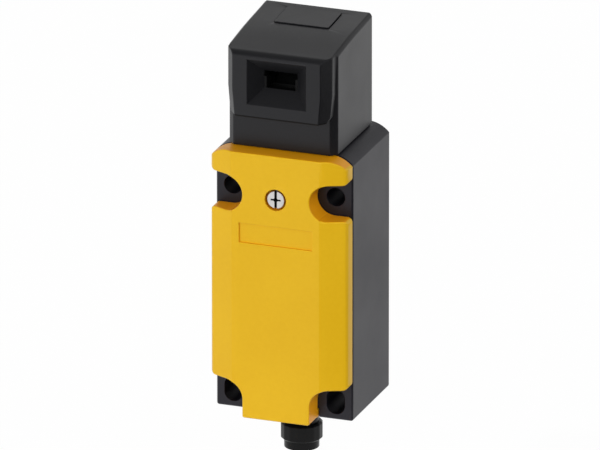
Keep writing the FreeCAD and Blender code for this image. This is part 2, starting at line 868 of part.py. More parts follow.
def make_plunger_spring():
    return coil(plunger_spring_radius, plunger_spring_wire, plunger_spring_turns, chamber_z, collar_z)


def make_head_lock_fork():
    top = fork_z + fork_thickness
    plate = box(-fork_outer, fork_outer, fork_front, fork_back, fork_z, top)
    tab = box(-fork_tab_width / 2, fork_tab_width / 2, fork_front, fork_front + fork_thickness / 2,
              fork_z - fork_tab_drop, fork_z + root)
    slot = box(-fork_inner, fork_inner, axis_y, fork_back + overcut, fork_z - overcut, top + overcut)
    hole = rod_z(fork_inner, 0, axis_y, fork_z - overcut, top + overcut)
    return fused([plate, tab]).cut([slot, hole])


def make_contact_block():
    w = block_half_width
    out = block_front_y - overcut
    body = box(-w, w, block_front_y, block_back_y, block_z, block_top)
    foot = box(-w, w, foot_front_y, block_back_y, foot_z, block_z + root)
    channel_x = carrier_half_x + slide_clearance
    channel_y = axis_y + carrier_half_y + slide_clearance
    cuts = [box(-channel_x, channel_x, out, channel_y, spring_floor_z, block_top + overcut)]
    chamber_back = axis_y + bridge_width / 2 + chamber_room
    strip_half = strip_width / 2 + bridge_fit
    for i, z in enumerate(row_z):
        low = z - pocket_low
        high = z + pocket_high
        cuts.append(box(-chamber_half, chamber_half, out, chamber_back, low, high))
        cuts += both_sides(box(pocket_inner, w + overcut, out, plate_back_y, low, high))
        strip_z = strip_place(i)
        slit = box(chamber_half - root, pocket_inner + root, axis_y - strip_half, axis_y + strip_half,
                   strip_z - bridge_fit, strip_z + strip_thickness + bridge_fit)
        cuts += both_sides(slit)
        cuts += both_sides(rod_y(terminal_screw_d / 2 + axle_fit, terminal_x, z, plate_back_y - overcut,
                                 plate_back_y + terminal_reach))
    cuts += both_sides(rod_y(block_screw_d / 2 + axle_fit, block_screw_x, foot_screw_z,
                             foot_front_y - overcut, block_back_y + overcut))
    return fused([body, foot]).cut(cuts)


def make_block_screws():
    front = foot_front_y - block_screw_head_height
    screw = slotted_screw(block_screw_x, foot_screw_z, front, block_screw_head_d, block_screw_head_height,
                          block_screw_d, block_back_y + screw_bite, False)
    return group(both_sides(screw))


def opens(i):
    """The two upper rows open when the key is out; the lowest closes."""
    return i < 2


def bridge_place(i):
    return row_z[i] + (nc_rest if opens(i) else no_rest)


def strip_place(i):
    return row_z[i] + (nc_strip if opens(i) else no_strip)


def make_contact_carrier():
    x = carrier_half_x
    body = box(-x, x, axis_y - carrier_half_y, axis_y + carrier_half_y, carrier_z, block_top)
    shoulder = spigot_z - cam_drop - slide_clearance * 2
    push = rod_z(carrier_half_y, 0, axis_y, block_top - root, shoulder)
    tip = rod_z(stem_radius, 0, axis_y, shoulder - root, carrier_top)
    half_y = bridge_width / 2 + bridge_fit
    half_z = bridge_thickness / 2 + bridge_fit
    windows = []
    for i in range(3):
        z = bridge_place(i)
        low = z - half_z - (contact_spring_height if opens(i) else 0)
        high = z + half_z + (0 if opens(i) else contact_spring_height)
        windows.append(box(-x - overcut, x + overcut, axis_y - half_y, axis_y + half_y, low, high))
    return fused([body, push, tip]).cut(windows)


def make_bridge(i):
    z = bridge_place(i)
    t = bridge_thickness / 2
    bar = box(-bridge_half, bridge_half, axis_y - bridge_width / 2, axis_y + bridge_width / 2, z - t, z + t)
    up = 1 if opens(i) else -1
    tip = rod_z(rivet_radius, rivet_x, axis_y, z, z + up * (t + rivet_height))
    return fused([bar] + both_sides(tip))


def make_nc_bridges():
    return group([make_bridge(0), make_bridge(1)])


def make_no_bridge():
    return make_bridge(2)


def make_contact_springs():
    springs = []
    half = bridge_thickness / 2
    for i in range(3):
        z = bridge_place(i)
        low = z - half - contact_spring_height if opens(i) else z + half
        springs.append(coil(contact_spring_radius, contact_spring_wire, contact_spring_turns, low,
                            low + contact_spring_height))
    return group(springs)


def make_return_spring():
    return coil(return_spring_radius, return_spring_wire, return_spring_turns, spring_floor_z, carrier_z)


def fixed_contact(i):
    """One stamped strip: a tongue with a contact tip, a neck, and a plate under the terminal screw."""
    z = row_z[i]
    t = strip_thickness
    low = strip_place(i)
    high = low + t
    tongue = box(strip_inner, pocket_inner, axis_y - strip_width / 2, axis_y + strip_width / 2, low, high)
    neck = box(pocket_inner - t, pocket_inner + t, plate_front_y, plate_back_y, low, high)
    plate = box(pocket_inner + bridge_fit, block_half_width - bridge_fit, plate_front_y, plate_back_y,
                z - pocket_low + bridge_fit, z + pocket_high - bridge_fit)
    middle = (low + high) / 2
    toward = -1 if opens(i) else 1
    tip = rod_z(rivet_radius, rivet_x, axis_y, middle, middle + toward * (t / 2 + rivet_height))
    hole = rod_y(terminal_screw_d / 2 + axle_fit, terminal_x, z, plate_front_y - overcut,
                 plate_back_y + overcut)
    return fused([tongue, neck, plate, tip]).cut(hole)


def make_nc_fixed_contacts():
    return group([s for i in range(2) for s in both_sides(fixed_contact(i))])


def make_no_fixed_contacts():
    return group(both_sides(fixed_contact(2)))


def make_terminal_screws():
    screws = []
    for z in row_z:
        screw = slotted_screw(terminal_x, z, clamp_front_y - terminal_head_height, terminal_head_d,
                              terminal_head_height, terminal_screw_d,
                              plate_back_y + terminal_reach - slide_clearance, False)
        screws += both_sides(screw)
    return group(screws)


def make_terminal_clamps():
    clamps = []
    half = clamp_size / 2
    for z in row_z:
        plate = box(terminal_x - half, terminal_x + half, clamp_front_y, clamp_back_y, z - half, z + half)
        hole = rod_y(terminal_screw_d / 2 + axle_fit, terminal_x, z, clamp_front_y - overcut,
                     clamp_back_y + overcut)
        clamps += both_sides(plate.cut(hole))
    return group(clamps)


def make_connector_shell():
    """Shank, flange, neck, ring and nose turned in one piece, with the socket for the pins."""
    core = insert_core_radius + insert_fit
    b = ring_edge_break
    return turned([
        (core, shank_top),
        (shank_radius, shank_top),
        (shank_radius, flange_z),
        (flange_radius, flange_z),
        (flange_radius, neck_z),
        (neck_radius, neck_z),
        (neck_radius, ring_z),
        (ring_radius - b, ring_z),
        (ring_radius, ring_z - b),
        (ring_radius, sleeve_z + b),
        (ring_radius - b, sleeve_z),
        (nose_sleeve_radius, sleeve_z),
        (nose_sleeve_radius, plug_z),
        (socket_radius, plug_z),
        (socket_radius, socket_z),
        (core, socket_z),
    ], plug_y)


def make_connector_seal():
    inner = shank_radius + shank_fit
    disc = rod_z(inner + plug_seal_width, 0, plug_y, flange_z, bottom_z)
    return disc.cut(rod_z(inner, 0, plug_y, flange_z - overcut, bottom_z + overcut))


def pin_places():
    return [(sx * pin_offset, plug_y + sy * pin_offset) for sx in (-1, 1) for sy in (-1, 1)]


def make_connector_insert():
    """The pin carrier: a face in the socket with a coding key on its wall, and a core through the shell."""
    wall = socket_radius - insert_fit
    disc = rod_z(wall, 0, plug_y, insert_face_z, socket_z - insert_fit)
    core = rod_z(insert_core_radius, 0, plug_y, socket_z - root, insert_top)
    key = box(-key_width / 2, key_width / 2, plug_y + wall - key_height, plug_y + wall, plug_z + pin_recess,
              insert_face_z + root)
    key = key.common(rod_z(wall, 0, plug_y, plug_z, socket_z))
    bores = [rod_z(pin_radius + axle_fit, x, y, insert_face_z - overcut, insert_top + overcut)
             for x, y in pin_places()]
    return fused([disc, core, key]).cut(bores)


def make_connector_pins():
    return group([rod_z(pin_radius, x, y, plug_z + pin_recess, pin_top) for x, y in pin_places()])


def chamfered(points, cuts):
    """Replaces each inner corner of a path with a short slanting step."""
    path = [points[0]]
    for before, corner, after, cut in zip(points, points[1:], points[2:], cuts):
        path.append(corner + (before - corner).normalize() * cut)
        path.append(corner + (after - corner).normalize() * cut)
    return path + [points[-1]]


def lead_wire(side, row):
    """A wire from a pin up beside the block; the upper row's has a lane in front of the lower row's."""
    upper = row == 0
    start_y = plug_y - pin_offset if upper else plug_y + pin_offset
    lane_y = wire_y - wire_lane_step if upper else wire_y
    level = foot_z - wire_drop + (0 if upper else wire_level_step)
    end_z = row_z[row] - terminal_screw_d / 2 - conductor_radius - slide_clearance
    x = side * wire_x
    corners = [V(side * pin_offset, start_y, pin_top + push_gap), V(side * pin_offset, start_y, level),
               V(x, lane_y, level)]
    cuts = [wire_corner, wire_corner]
    if upper:
        corners.append(V(x, lane_y, end_z - wire_lane_step))
        cuts.append(wire_tight_corner)
    corners += [V(x, wire_y, end_z), V(side * (block_half_width + push_gap), wire_y, end_z)]
    cuts.append(wire_tight_corner)
    path = Part.makePolygon(chamfered(corners, cuts))
    profile = Part.Wire(Part.makeCircle(wire_radius, corners[0], V(0, 0, 1)))
    sleeve = path.makePipeShell([profile], True, False, 1)
    core = rod(conductor_radius, V(side * (block_half_width + wire_clearance), wire_y, end_z),
               V(side * (pocket_inner + conductor_end_gap), wire_y, end_z))
    return fused([sleeve, core])


def make_lead_wires():
    return group([lead_wire(side, row) for side in (-1, 1) for row in (0, 1)])


pieces = {
    "housing": make_housing,
    "head_lock_fork": make_head_lock_fork,
    "contact_block": make_contact_block,
    "block_screws": make_block_screws,
    "nc_fixed_contacts": make_nc_fixed_contacts,
    "no_fixed_contacts": make_no_fixed_contacts,
    "terminal_screws": make_terminal_screws,
    "terminal_clamps": make_terminal_clamps,
    "lead_wires": make_lead_wires,
    "connector_shell": make_connector_shell,
    "connector_insert": make_connector_insert,
    "connector_pins": make_connector_pins,
    "connector_seal": make_connector_seal,
    "cover": make_cover,
    "cover_gasket": make_cover_gasket,
    "cover_screw": make_cover_screw,
    "screw_retainer": make_screw_retainer,
    "head_housing": make_head_housing,
    "head_base": make_head_base,
    "head_screws": make_head_screws,
    "head_seal": make_head_seal,
    "top_slot_cap": make_top_slot_cap,
    "rotor_axle": make_rotor_axle,
    "rotor": make_rotor,
    "plunger": make_plunger,
    "plunger_spring": make_plunger_spring,
    "contact_carrier": make_contact_carrier,
    "nc_bridges": make_nc_bridges,
    "no_bridge": make_no_bridge,
    "contact_springs": make_contact_springs,
    "return_spring": make_return_spring,
}

for name, make in pieces.items():
    shape = make()
    shape.exportStep("parts/" + name + ".step")
    print(name, shape.isValid(), len(shape.Solids), round(shape.Volume, 1))
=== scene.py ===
import bpy
import bmesh
import math
from mathutils import Matrix, Vector
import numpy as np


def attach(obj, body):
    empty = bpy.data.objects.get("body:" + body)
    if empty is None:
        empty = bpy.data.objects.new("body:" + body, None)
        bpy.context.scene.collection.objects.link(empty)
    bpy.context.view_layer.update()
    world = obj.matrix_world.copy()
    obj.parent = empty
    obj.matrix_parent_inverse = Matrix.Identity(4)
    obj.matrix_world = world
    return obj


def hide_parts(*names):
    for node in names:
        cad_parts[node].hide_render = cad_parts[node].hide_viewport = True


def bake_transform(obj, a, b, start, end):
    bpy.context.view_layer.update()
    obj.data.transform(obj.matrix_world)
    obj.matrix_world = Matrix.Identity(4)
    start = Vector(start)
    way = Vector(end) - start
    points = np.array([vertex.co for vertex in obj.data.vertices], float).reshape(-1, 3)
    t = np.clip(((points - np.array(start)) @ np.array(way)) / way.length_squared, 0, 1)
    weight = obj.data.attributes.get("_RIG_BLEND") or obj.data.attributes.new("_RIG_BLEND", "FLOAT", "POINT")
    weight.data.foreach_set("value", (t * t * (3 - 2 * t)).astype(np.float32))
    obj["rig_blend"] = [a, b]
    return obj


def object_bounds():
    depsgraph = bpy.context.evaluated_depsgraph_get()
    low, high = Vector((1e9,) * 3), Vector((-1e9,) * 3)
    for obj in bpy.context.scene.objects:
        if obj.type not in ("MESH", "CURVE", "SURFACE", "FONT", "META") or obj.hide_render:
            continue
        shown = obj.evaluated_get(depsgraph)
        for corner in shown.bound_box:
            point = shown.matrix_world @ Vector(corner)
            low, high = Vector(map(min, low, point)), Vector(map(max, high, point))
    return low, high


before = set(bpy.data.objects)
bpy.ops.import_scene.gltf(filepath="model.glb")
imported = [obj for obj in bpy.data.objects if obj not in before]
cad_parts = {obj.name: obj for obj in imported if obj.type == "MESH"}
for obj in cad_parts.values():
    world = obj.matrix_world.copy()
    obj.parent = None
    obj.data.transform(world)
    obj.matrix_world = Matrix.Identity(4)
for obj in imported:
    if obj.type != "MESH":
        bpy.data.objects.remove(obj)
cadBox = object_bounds()
mm = 0.001
quarterTurn = math.radians(90)
headAxisY = -17.15              # upright axis of the head, its drive and the springs
rowZ = (16.2, 6.9, -2.4)        # heights of the three contact rows
scene = bpy.context.scene
scene.view_settings.view_transform = "Standard"
print("frame loaded:", len(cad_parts), "nodes")

# camera, floor and light

shot = {
    "turn": 20.0,           # degrees to the right of the front
    "tilt": 20.16,          # degrees above the level
    "distance": 5.512,
    "lens": 1200.0,         # long, for a view almost without perspective
    "sensor": 36.0,
    "clip": (0.1, 50.0),
    "aim": (0.0, -0.0185, 0.012),
    "shiftRight": 0.00045,
    "shiftUp": 0.003885,
}


def placeCamera():
    turn = math.radians(shot["turn"])
    tilt = math.radians(shot["tilt"])
    back = Vector((math.sin(turn) * math.cos(tilt), -math.cos(turn) * math.cos(tilt), math.sin(tilt)))
    right = Vector((math.cos(turn), math.sin(turn), 0))
    up = back.cross(right)
    aim = Vector(shot["aim"]) + right * shot["shiftRight"] + up * shot["shiftUp"]
    data = bpy.data.cameras.new("shotCamera")
    data.lens = shot["lens"]
    data.sensor_width = shot["sensor"]
    data.sensor_fit = "HORIZONTAL"
    data.clip_start, data.clip_end = shot["clip"]
    cam = bpy.data.objects.new("shotCamera", data)
    scene.collection.objects.link(cam)
    facing = back.to_track_quat("Z", "Y").to_matrix().to_4x4()
    cam.matrix_world = Matrix.Translation(aim + back * shot["distance"]) @ facing
    scene.camera = cam


studio = {
    "floorReach": 6.0,
    "floorDrop": 0.0003,    # under the lowest point of the part
    "floorWhite": 0.85,
    "floorGlow": 0.985,     # share of plain white that the eye and reflections see
    # height of the direction and brightness there
    "skySteps": ((0.0, 0.66), (0.38, 0.90), (0.54, 0.36), (0.66, 0.22), (1.0, 0.34)),
    "cardX": (0.03, 0.06, 1.5),      # left end, the step beside the part, right end
    "cardY": (-1.5, -0.045, 0.02),   # near end, the step, far end
    "cardLift": 0.002,
    "cardTone": 0.02,
    "cardRough": 0.9,
}
# the front and side lamps light without a mirror image of themselves
lamps = {
    "frontSoftbox": {"place": (-0.70, -3.32, 1.30), "size": (5.0, 1.4), "power": 80.0, "mirrored": False},
    "sideFill": {"place": (3.40, -0.30, 1.20), "size": (1.6, 1.6), "power": 28.0, "mirrored": False},
    "backPanel": {"place": (-1.15, 2.85, 1.40), "size": (2.4, 0.9), "power": 3.0, "mirrored": True},
}
floorLevel = cadBox[0][2] - studio["floorDrop"]


def grey(level):
    return (level, level, level, 1)


def feed(tree, socket, value):
    # another node's socket is linked, anything else is set
    if isinstance(value, bpy.types.NodeSocket):
        tree.links.new(value, socket)
    else:
        socket.default_value = value


def addNode(tree, kind, inputs, output=0, **settings):
    # a new node with its inputs fed, as the one output that is asked for
    node = tree.nodes.new(kind)
    for label, value in settings.items():
        setattr(node, label, value)
    for label, value in inputs.items():
        feed(tree, node.inputs[label], value)
    return node.outputs[output]


def calc(tree, operation, *values):
    return addNode(tree, "ShaderNodeMath", dict(enumerate(values)), operation=operation)


def ramp(tree, value, steps):
    tone = addNode(tree, "ShaderNodeValToRGB", {"Fac": value}, "Color")
    stops = tone.node.color_ramp.elements
    while len(stops) < len(steps):
        stops.new(0.5)      # its own place comes next
    for stop, (place, colour) in zip(stops, steps):
        stop.position = place
        stop.color = colour
    return tone


def emptyTree(owner):
    owner.use_nodes = True
    owner.node_tree.nodes.clear()
    return owner.node_tree


def showMix(tree, kind, share, first, second):
    both = addNode(tree, "ShaderNodeMixShader", {0: share, 1: first, 2: second})
    feed(tree, tree.nodes.new(kind).inputs["Surface"], both)


def flatSheet(name, corners, level):
    mesh = bpy.data.meshes.new(name)
    mesh.from_pydata([(x, y, level) for x, y in corners], [], [range(len(corners))])
    sheet = bpy.data.objects.new(name, mesh)
    scene.collection.objects.link(sheet)
    return sheet


def layFloor():
    reach = studio["floorReach"]
    corners = ((-reach, -reach), (reach, -reach), (reach, reach), (-reach, reach))
    floor = flatSheet("floor", corners, floorLevel)
    mat = bpy.data.materials.new("paleFloor")
    tree = emptyTree(mat)
    matt = addNode(tree, "ShaderNodeBsdfDiffuse", {"Color": grey(studio["floorWhite"])})
    glow = addNode(tree, "ShaderNodeEmission", {"Color": grey(1)})
    # the eye, mirrors and glass see white, and plain lighting the matt floor
    rays = tree.nodes.new("ShaderNodeLightPath").outputs
    seen = calc(tree, "MAXIMUM", rays["Is Camera Ray"], rays["Is Glossy Ray"])
    seen = calc(tree, "MAXIMUM", seen, rays["Is Transmission Ray"])
    share = calc(tree, "MULTIPLY", seen, studio["floorGlow"])
    showMix(tree, "ShaderNodeOutputMaterial", share, matt, glow)
    floor.data.materials.append(mat)


def hangSky():
    # pale at the horizon and dim overhead, as in a room with lit walls
    world = bpy.data.worlds.new("studioWorld")
    scene.world = world
    tree = emptyTree(world)
    way = addNode(tree, "ShaderNodeTexCoord", {}, "Generated")
    height = addNode(tree, "ShaderNodeSeparateXYZ", {0: way}, "Z")
    tone = ramp(tree, height, [(place, grey(level)) for place, level in studio["skySteps"]])
    sky = addNode(tree, "ShaderNodeBackground", {"Color": tone})
    # past the floor's end the eye sees the floor's white
    far = addNode(tree, "ShaderNodeBackground", {"Color": grey(1)})
    eye = addNode(tree, "ShaderNodeLightPath", {}, "Is Camera Ray")
    showMix(tree, "ShaderNodeOutputWorld", eye, sky, far)


def layDarkCard():
    # a dark card lies before the part, out of the picture, so that its front faces stay deep
    x0, x1, x2 = studio["cardX"]
    y0, y1, y2 = studio["cardY"]
    corners = ((x0, y0), (x2, y0), (x2, y2), (x1, y2), (x1, y1), (x0, y1))
    card = flatSheet("darkCard", corners, floorLevel + studio["cardLift"])
    card.visible_camera = False
    mat = bpy.data.materials.new("cardBlack")
    mat.use_nodes = True
    paper = mat.node_tree.nodes["Principled BSDF"]
    paper.inputs["Base Color"].default_value = grey(studio["cardTone"])
    paper.inputs["Roughness"].default_value = studio["cardRough"]
    card.data.materials.append(mat)


def hangLamps():
    for name, sizes in lamps.items():
        data = bpy.data.lights.new(name, "AREA")
        data.shape = "RECTANGLE"
        data.size, data.size_y = sizes["size"]
        data.energy = sizes["power"]
        lamp = bpy.data.objects.new(name, data)
        lamp.location = sizes["place"]
        lamp.rotation_euler = Vector(sizes["place"]).to_track_quat("Z", "Y").to_euler()
        lamp.visible_glossy = sizes["mirrored"]
        scene.collection.objects.link(lamp)


placeCamera()
layFloor()
hangSky()
layDarkCard()
hangLamps()
print("camera and studio set")

# finishes

noiseSpan = (0.3, 0.7)      # most of a noise lies between these
mouldedNoise = {
    "driftDetail": 3.0, "grainDetail": 3.0, "grainRough": 0.6, "speckDetail": 1.0, "dullShare": 0.5,
}
metalNoise = {"marksDetail": 4.0, "marksRough": 0.6, "cloudDetail": 2.0, "marksShare": 0.4}


def startMaterial(name):
    mat = bpy.data.materials.new(name)
    mat.use_nodes = True
    tree = mat.node_tree
    coords = addNode(tree, "ShaderNodeTexCoord", {}, "Object")
    return mat, tree, tree.nodes["Principled BSDF"].inputs, coords


def noiseField(tree, coords, scale, detail, rough=0.5):
    sizes = {"Vector": coords, "Scale": scale, "Detail": detail, "Roughness": rough}
    return addNode(tree, "ShaderNodeTexNoise", sizes, "Fac")


def blendValues(tree, first, second, share):
    return addNode(tree, "ShaderNodeMix", {"Factor": share, "A": first, "B": second}, "Result")


def dressSurface(tree, skin, look, tone, dull, relief):
    # the colour, dullness and fine relief that both kinds of finish have
    low, high = noiseSpan
    colours = [(low, (*look["dark"], 1)), (high, (*look["light"], 1))]
    feed(tree, skin["Base Color"], ramp(tree, tone, colours))
    least, most = look["rough"]
    spread = {"Value": dull, "From Min": low, "From Max": high, "To Min": least, "To Max": most}
    feed(tree, skin["Roughness"], addNode(tree, "ShaderNodeMapRange", spread, "Result"))
    bump = {"Height": relief, "Distance": look["depth"], "Strength": look["strength"]}
    feed(tree, skin["Normal"], addNode(tree, "ShaderNodeBump", bump, "Normal"))


def mouldedFinish(name, look):
    # moulded plastic: a slow drift of tone with specks in it, a fine eroded grain and a few dull patches
    mat, tree, skin, coords = startMaterial(name)
    n = mouldedNoise
    drift = noiseField(tree, coords, look["drift"], n["driftDetail"])
    grain = noiseField(tree, coords, look["grain"], n["grainDetail"], n["grainRough"])
    speck = noiseField(tree, coords, look["speck"], n["speckDetail"])
    tone = blendValues(tree, drift, speck, look["speckShare"])
    dull = blendValues(tree, drift, grain, n["dullShare"])
    dressSurface(tree, skin, look, tone, dull, grain)
    skin["Specular IOR Level"].default_value = look["specular"]
    skin["Specular Tint"].default_value = (*look.get("tint", (1, 1, 1)), 1)
    return mat


def metalFinish(name, look):
    # plated or bare metal: rolling marks along one axis and a faint cloudiness
    mat, tree, skin, coords = startMaterial(name)
    n = metalNoise
    stretched = addNode(tree, "ShaderNodeMapping", {"Vector": coords, "Scale": look["stretch"]})
    marks = noiseField(tree, stretched, look["marks"], n["marksDetail"], n["marksRough"])
    cloud = noiseField(tree, coords, look["cloud"], n["cloudDetail"])
    tone = blendValues(tree, cloud, marks, n["marksShare"])
    dressSurface(tree, skin, look, tone, tone, marks)
    skin["Metallic"].default_value = 1.0
    return mat


# noise scales are per metre, depths of the grain in metres
coverSkin = {
    "rough": (0.36, 0.46), "specular": 0.3,
    "drift": 45, "grain": 5200, "speck": 900, "speckShare": 0.3, "depth": 0.000012, "strength": 0.5,
}
wireSkin = {
    "rough": (0.36, 0.46), "specular": 0.45,
    "drift": 180, "grain": 3000, "speck": 900, "speckShare": 0.3, "depth": 0.000010, "strength": 0.3,
}
plasticLooks = {
    "coverYellow": {"dark": (0.780, 0.452, 0.007), "light": (0.820, 0.492, 0.011), **coverSkin},
    # painted shade: a deeper orange copy of the yellow for the cover's walls
    "coverWall": {"dark": (0.830, 0.345, 0.003), "light": (0.860, 0.370, 0.005), **coverSkin},
    "housingGrey": {
        "dark": (0.0048, 0.0047, 0.0070), "light": (0.0070, 0.0068, 0.0098),
        "rough": (0.40, 0.52), "specular": 0.46, "tint": (0.93, 0.91, 1.0),
        "drift": 60, "grain": 4200, "speck": 1500, "speckShare": 0.5, "depth": 0.000016, "strength": 0.5,
    },
    "headBlack": {
        "dark": (0.0046, 0.0046, 0.0056), "light": (0.0066, 0.0066, 0.0080),
        "rough": (0.37, 0.47), "specular": 0.42, "tint": (0.97, 0.97, 1.0),
        "drift": 60, "grain": 4600, "speck": 1500, "speckShare": 0.5, "depth": 0.000014, "strength": 0.5,
    },
    "plugBlack": {
        "dark": (0.0030, 0.0030, 0.0031), "light": (0.0046, 0.0046, 0.0047),
        "rough": (0.26, 0.36), "specular": 0.15,
        "drift": 160, "grain": 5200, "speck": 2000, "speckShare": 0.4, "depth": 0.000010, "strength": 0.4,
    },
    # the rotor's own dull black, which the head's throat and snout underside also take as painted shade
    "rotorBlack": {
        "dark": (0.0040, 0.0040, 0.0042), "light": (0.0065, 0.0065, 0.0067),
        "rough": (0.52, 0.66), "specular": 0.15,
        "drift": 160, "grain": 3600, "speck": 1400, "speckShare": 0.5, "depth": 0.000014, "strength": 0.5,
    },
    "blockGrey": {
        "dark": (0.33, 0.335, 0.32), "light": (0.39, 0.395, 0.38), "rough": (0.42, 0.55), "specular": 0.40,
        "drift": 90, "grain": 5000, "speck": 1600, "speckShare": 0.4, "depth": 0.000012, "strength": 0.4,
    },
    "carrierRed": {
        "dark": (0.36, 0.045, 0.028), "light": (0.43, 0.060, 0.036), "rough": (0.34, 0.44), "specular": 0.45,
        "drift": 120, "grain": 6000, "speck": 1800, "speckShare": 0.3, "depth": 0.000008, "strength": 0.4,
    },
    "slideWhite": {
        "dark": (0.50, 0.49, 0.45), "light": (0.57, 0.56, 0.52), "rough": (0.34, 0.44), "specular": 0.45,
        "drift": 150, "grain": 6000, "speck": 1800, "speckShare": 0.3, "depth": 0.000008, "strength": 0.4,
    },
    "sealRubber": {
        "dark": (0.0085, 0.0085, 0.0085), "light": (0.0135, 0.0135, 0.0135),
        "rough": (0.62, 0.78), "specular": 0.35,
        "drift": 200, "grain": 3500, "speck": 1200, "speckShare": 0.4, "depth": 0.00002, "strength": 0.5,
    },
    "numberGrey": {
        "dark": (0.045, 0.045, 0.045), "light": (0.07, 0.07, 0.07), "rough": (0.5, 0.6), "specular": 0.35,
        "drift": 200, "grain": 5200, "speck": 1200, "speckShare": 0.4, "depth": 0.000008, "strength": 0.4,
    },
    "wireBrown": {"dark": (0.075, 0.030, 0.014), "light": (0.100, 0.042, 0.020), **wireSkin},
    "wireWhite": {"dark": (0.62, 0.61, 0.58), "light": (0.70, 0.69, 0.66), **wireSkin},
    "wireBlue": {"dark": (0.018, 0.060, 0.22), "light": (0.026, 0.080, 0.29), **wireSkin},
    "wireBlack": {"dark": (0.008, 0.008, 0.008), "light": (0.013, 0.013, 0.013), **wireSkin},
}
metalLooks = {
    "zincBright": {
        "dark": (0.60, 0.585, 0.57), "light": (0.76, 0.745, 0.73), "rough": (0.24, 0.38),
        "stretch": (1, 1, 6), "marks": 2200, "cloud": 700, "depth": 0.000006, "strength": 0.4,
    },
    "springSteel": {
        "dark": (0.42, 0.42, 0.43), "light": (0.56, 0.56, 0.57), "rough": (0.24, 0.36),
        "stretch": (1, 1, 3), "marks": 4000, "cloud": 900, "depth": 0.000004, "strength": 0.4,
    },
    "sheetSteel": {
        "dark": (0.46, 0.46, 0.47), "light": (0.60, 0.60, 0.61), "rough": (0.30, 0.44),
        "stretch": (8, 1, 1), "marks": 1800, "cloud": 300, "depth": 0.000006, "strength": 0.4,
    },
    # painted shade: a darker metal for the screws' slot and cross
    "recessDark": {
        "dark": (0.030, 0.030, 0.030), "light": (0.060, 0.060, 0.060), "rough": (0.45, 0.6),
        "stretch": (1, 1, 1), "marks": 3600, "cloud": 900, "depth": 0.000006, "strength": 0.4,
    },
    "contactBrass": {
        "dark": (0.62, 0.43, 0.17), "light": (0.75, 0.55, 0.25), "rough": (0.28, 0.42),
        "stretch": (1, 6, 1), "marks": 1800, "cloud": 260, "depth": 0.000006, "strength": 0.4,
    },
    "tipSilver": {
        "dark": (0.74, 0.73, 0.70), "light": (0.86, 0.85, 0.82), "rough": (0.26, 0.40),
        "stretch": (1, 1, 1), "marks": 2600, "cloud": 800, "depth": 0.000006, "strength": 0.4,
    },
    "pinGold": {
        "dark": (0.76, 0.52, 0.17), "light": (0.86, 0.62, 0.24), "rough": (0.20, 0.32),
        "stretch": (1, 1, 5), "marks": 3000, "cloud": 600, "depth": 0.000004, "strength": 0.3,
    },
    "tinnedCopper": {
        "dark": (0.60, 0.56, 0.52), "light": (0.74, 0.70, 0.66), "rough": (0.28, 0.42),
        "stretch": (6, 1, 1), "marks": 2600, "cloud": 600, "depth": 0.000008, "strength": 0.5,
    },
}
finishes = {name: mouldedFinish(name, look) for name, look in plasticLooks.items()}
finishes.update({name: metalFinish(name, look) for name, look in metalLooks.items()})
print("finishes made:", len(finishes))

# mesh tools

edgeRules = {
    "merge": 0.000002,      # metres, nearer points become one
    "flatTurn": 0.4,        # degrees, facets that turn less are one flat face
    "roundAbove": 28,       # degrees, edges that turn more are rounded
    "smoothBelow": 38,      # degrees, edges that turn less are shaded smooth
    "steps": 3,
    "broadWeight": 90,      # how strongly broad faces rule the shading
}


def newObject(name, mesh, *finishNames):
    obj = bpy.data.objects.new(name, mesh)
    scene.collection.objects.link(obj)
    for finish in finishNames:
        mesh.materials.append(finishes[finish])
    return obj


def meshFrom(name, bm):
    mesh = bpy.data.meshes.new(name)
    bm.to_mesh(mesh)
    bm.free()
    return mesh


def evaluatedMesh(obj):
    bpy.context.view_layer.update()
    deps = bpy.context.evaluated_depsgraph_get()
    shape = obj.evaluated_get(deps)
    return bpy.data.meshes.new_from_object(shape, preserve_all_data_layers=True, depsgraph=deps)


def settle(obj):
    # the evaluated shape becomes the object's own plain mesh
    mesh = evaluatedMesh(obj)
    old = obj.data
    obj.modifiers.clear()
    obj.data = mesh
    mesh.name = obj.name
    if old.users == 0:
        bpy.data.meshes.remove(old)
    return obj


def curveMesh(curve):
    # text or a curve as a plain mesh
    draft = bpy.data.objects.new(curve.name, curve)
    scene.collection.objects.link(draft)
    mesh = evaluatedMesh(draft)
    bpy.data.objects.remove(draft)
    mesh.materials.clear()
    return mesh


def shadeByAngle(mesh, crease):
    # smooth faces, with marked edges and those that turn by more than the crease angle left sharp
    bm = bmesh.new()
    bm.from_mesh(mesh)
    for face in bm.faces:
        face.smooth = True
    for edge in bm.edges:
        gentle = len(edge.link_faces) == 2 and edge.calc_face_angle(0) < math.radians(crease)
        edge.smooth = edge.smooth and gentle
    bm.to_mesh(mesh)
    bm.free()


def soften(obj, width, steps=edgeRules["steps"], crease=edgeRules["smoothBelow"]):
    # rounds the weighted edges and keeps broad faces flat in the shading
    bevel = obj.modifiers.new("edgeRound", "BEVEL")
    bevel.limit_method = "WEIGHT"
    bevel.width = width
    bevel.segments = steps
    bevel.use_clamp_overlap = False
    bevel.loop_slide = False
    box = [[pick(v.co[axis] for v in obj.data.vertices) for axis in range(3)] for pick in (min, max)]
    settle(obj)
    for vert in obj.data.vertices:
        # a rounded corner stays within the piece's own box
        vert.co = [min(max(at, low), high) for at, low, high in zip(vert.co, *box)]
    shadeByAngle(obj.data, crease)
    normals = obj.modifiers.new("broadNormals", "WEIGHTED_NORMAL")
    normals.keep_sharp = True
    normals.weight = edgeRules["broadWeight"]
    return settle(obj)


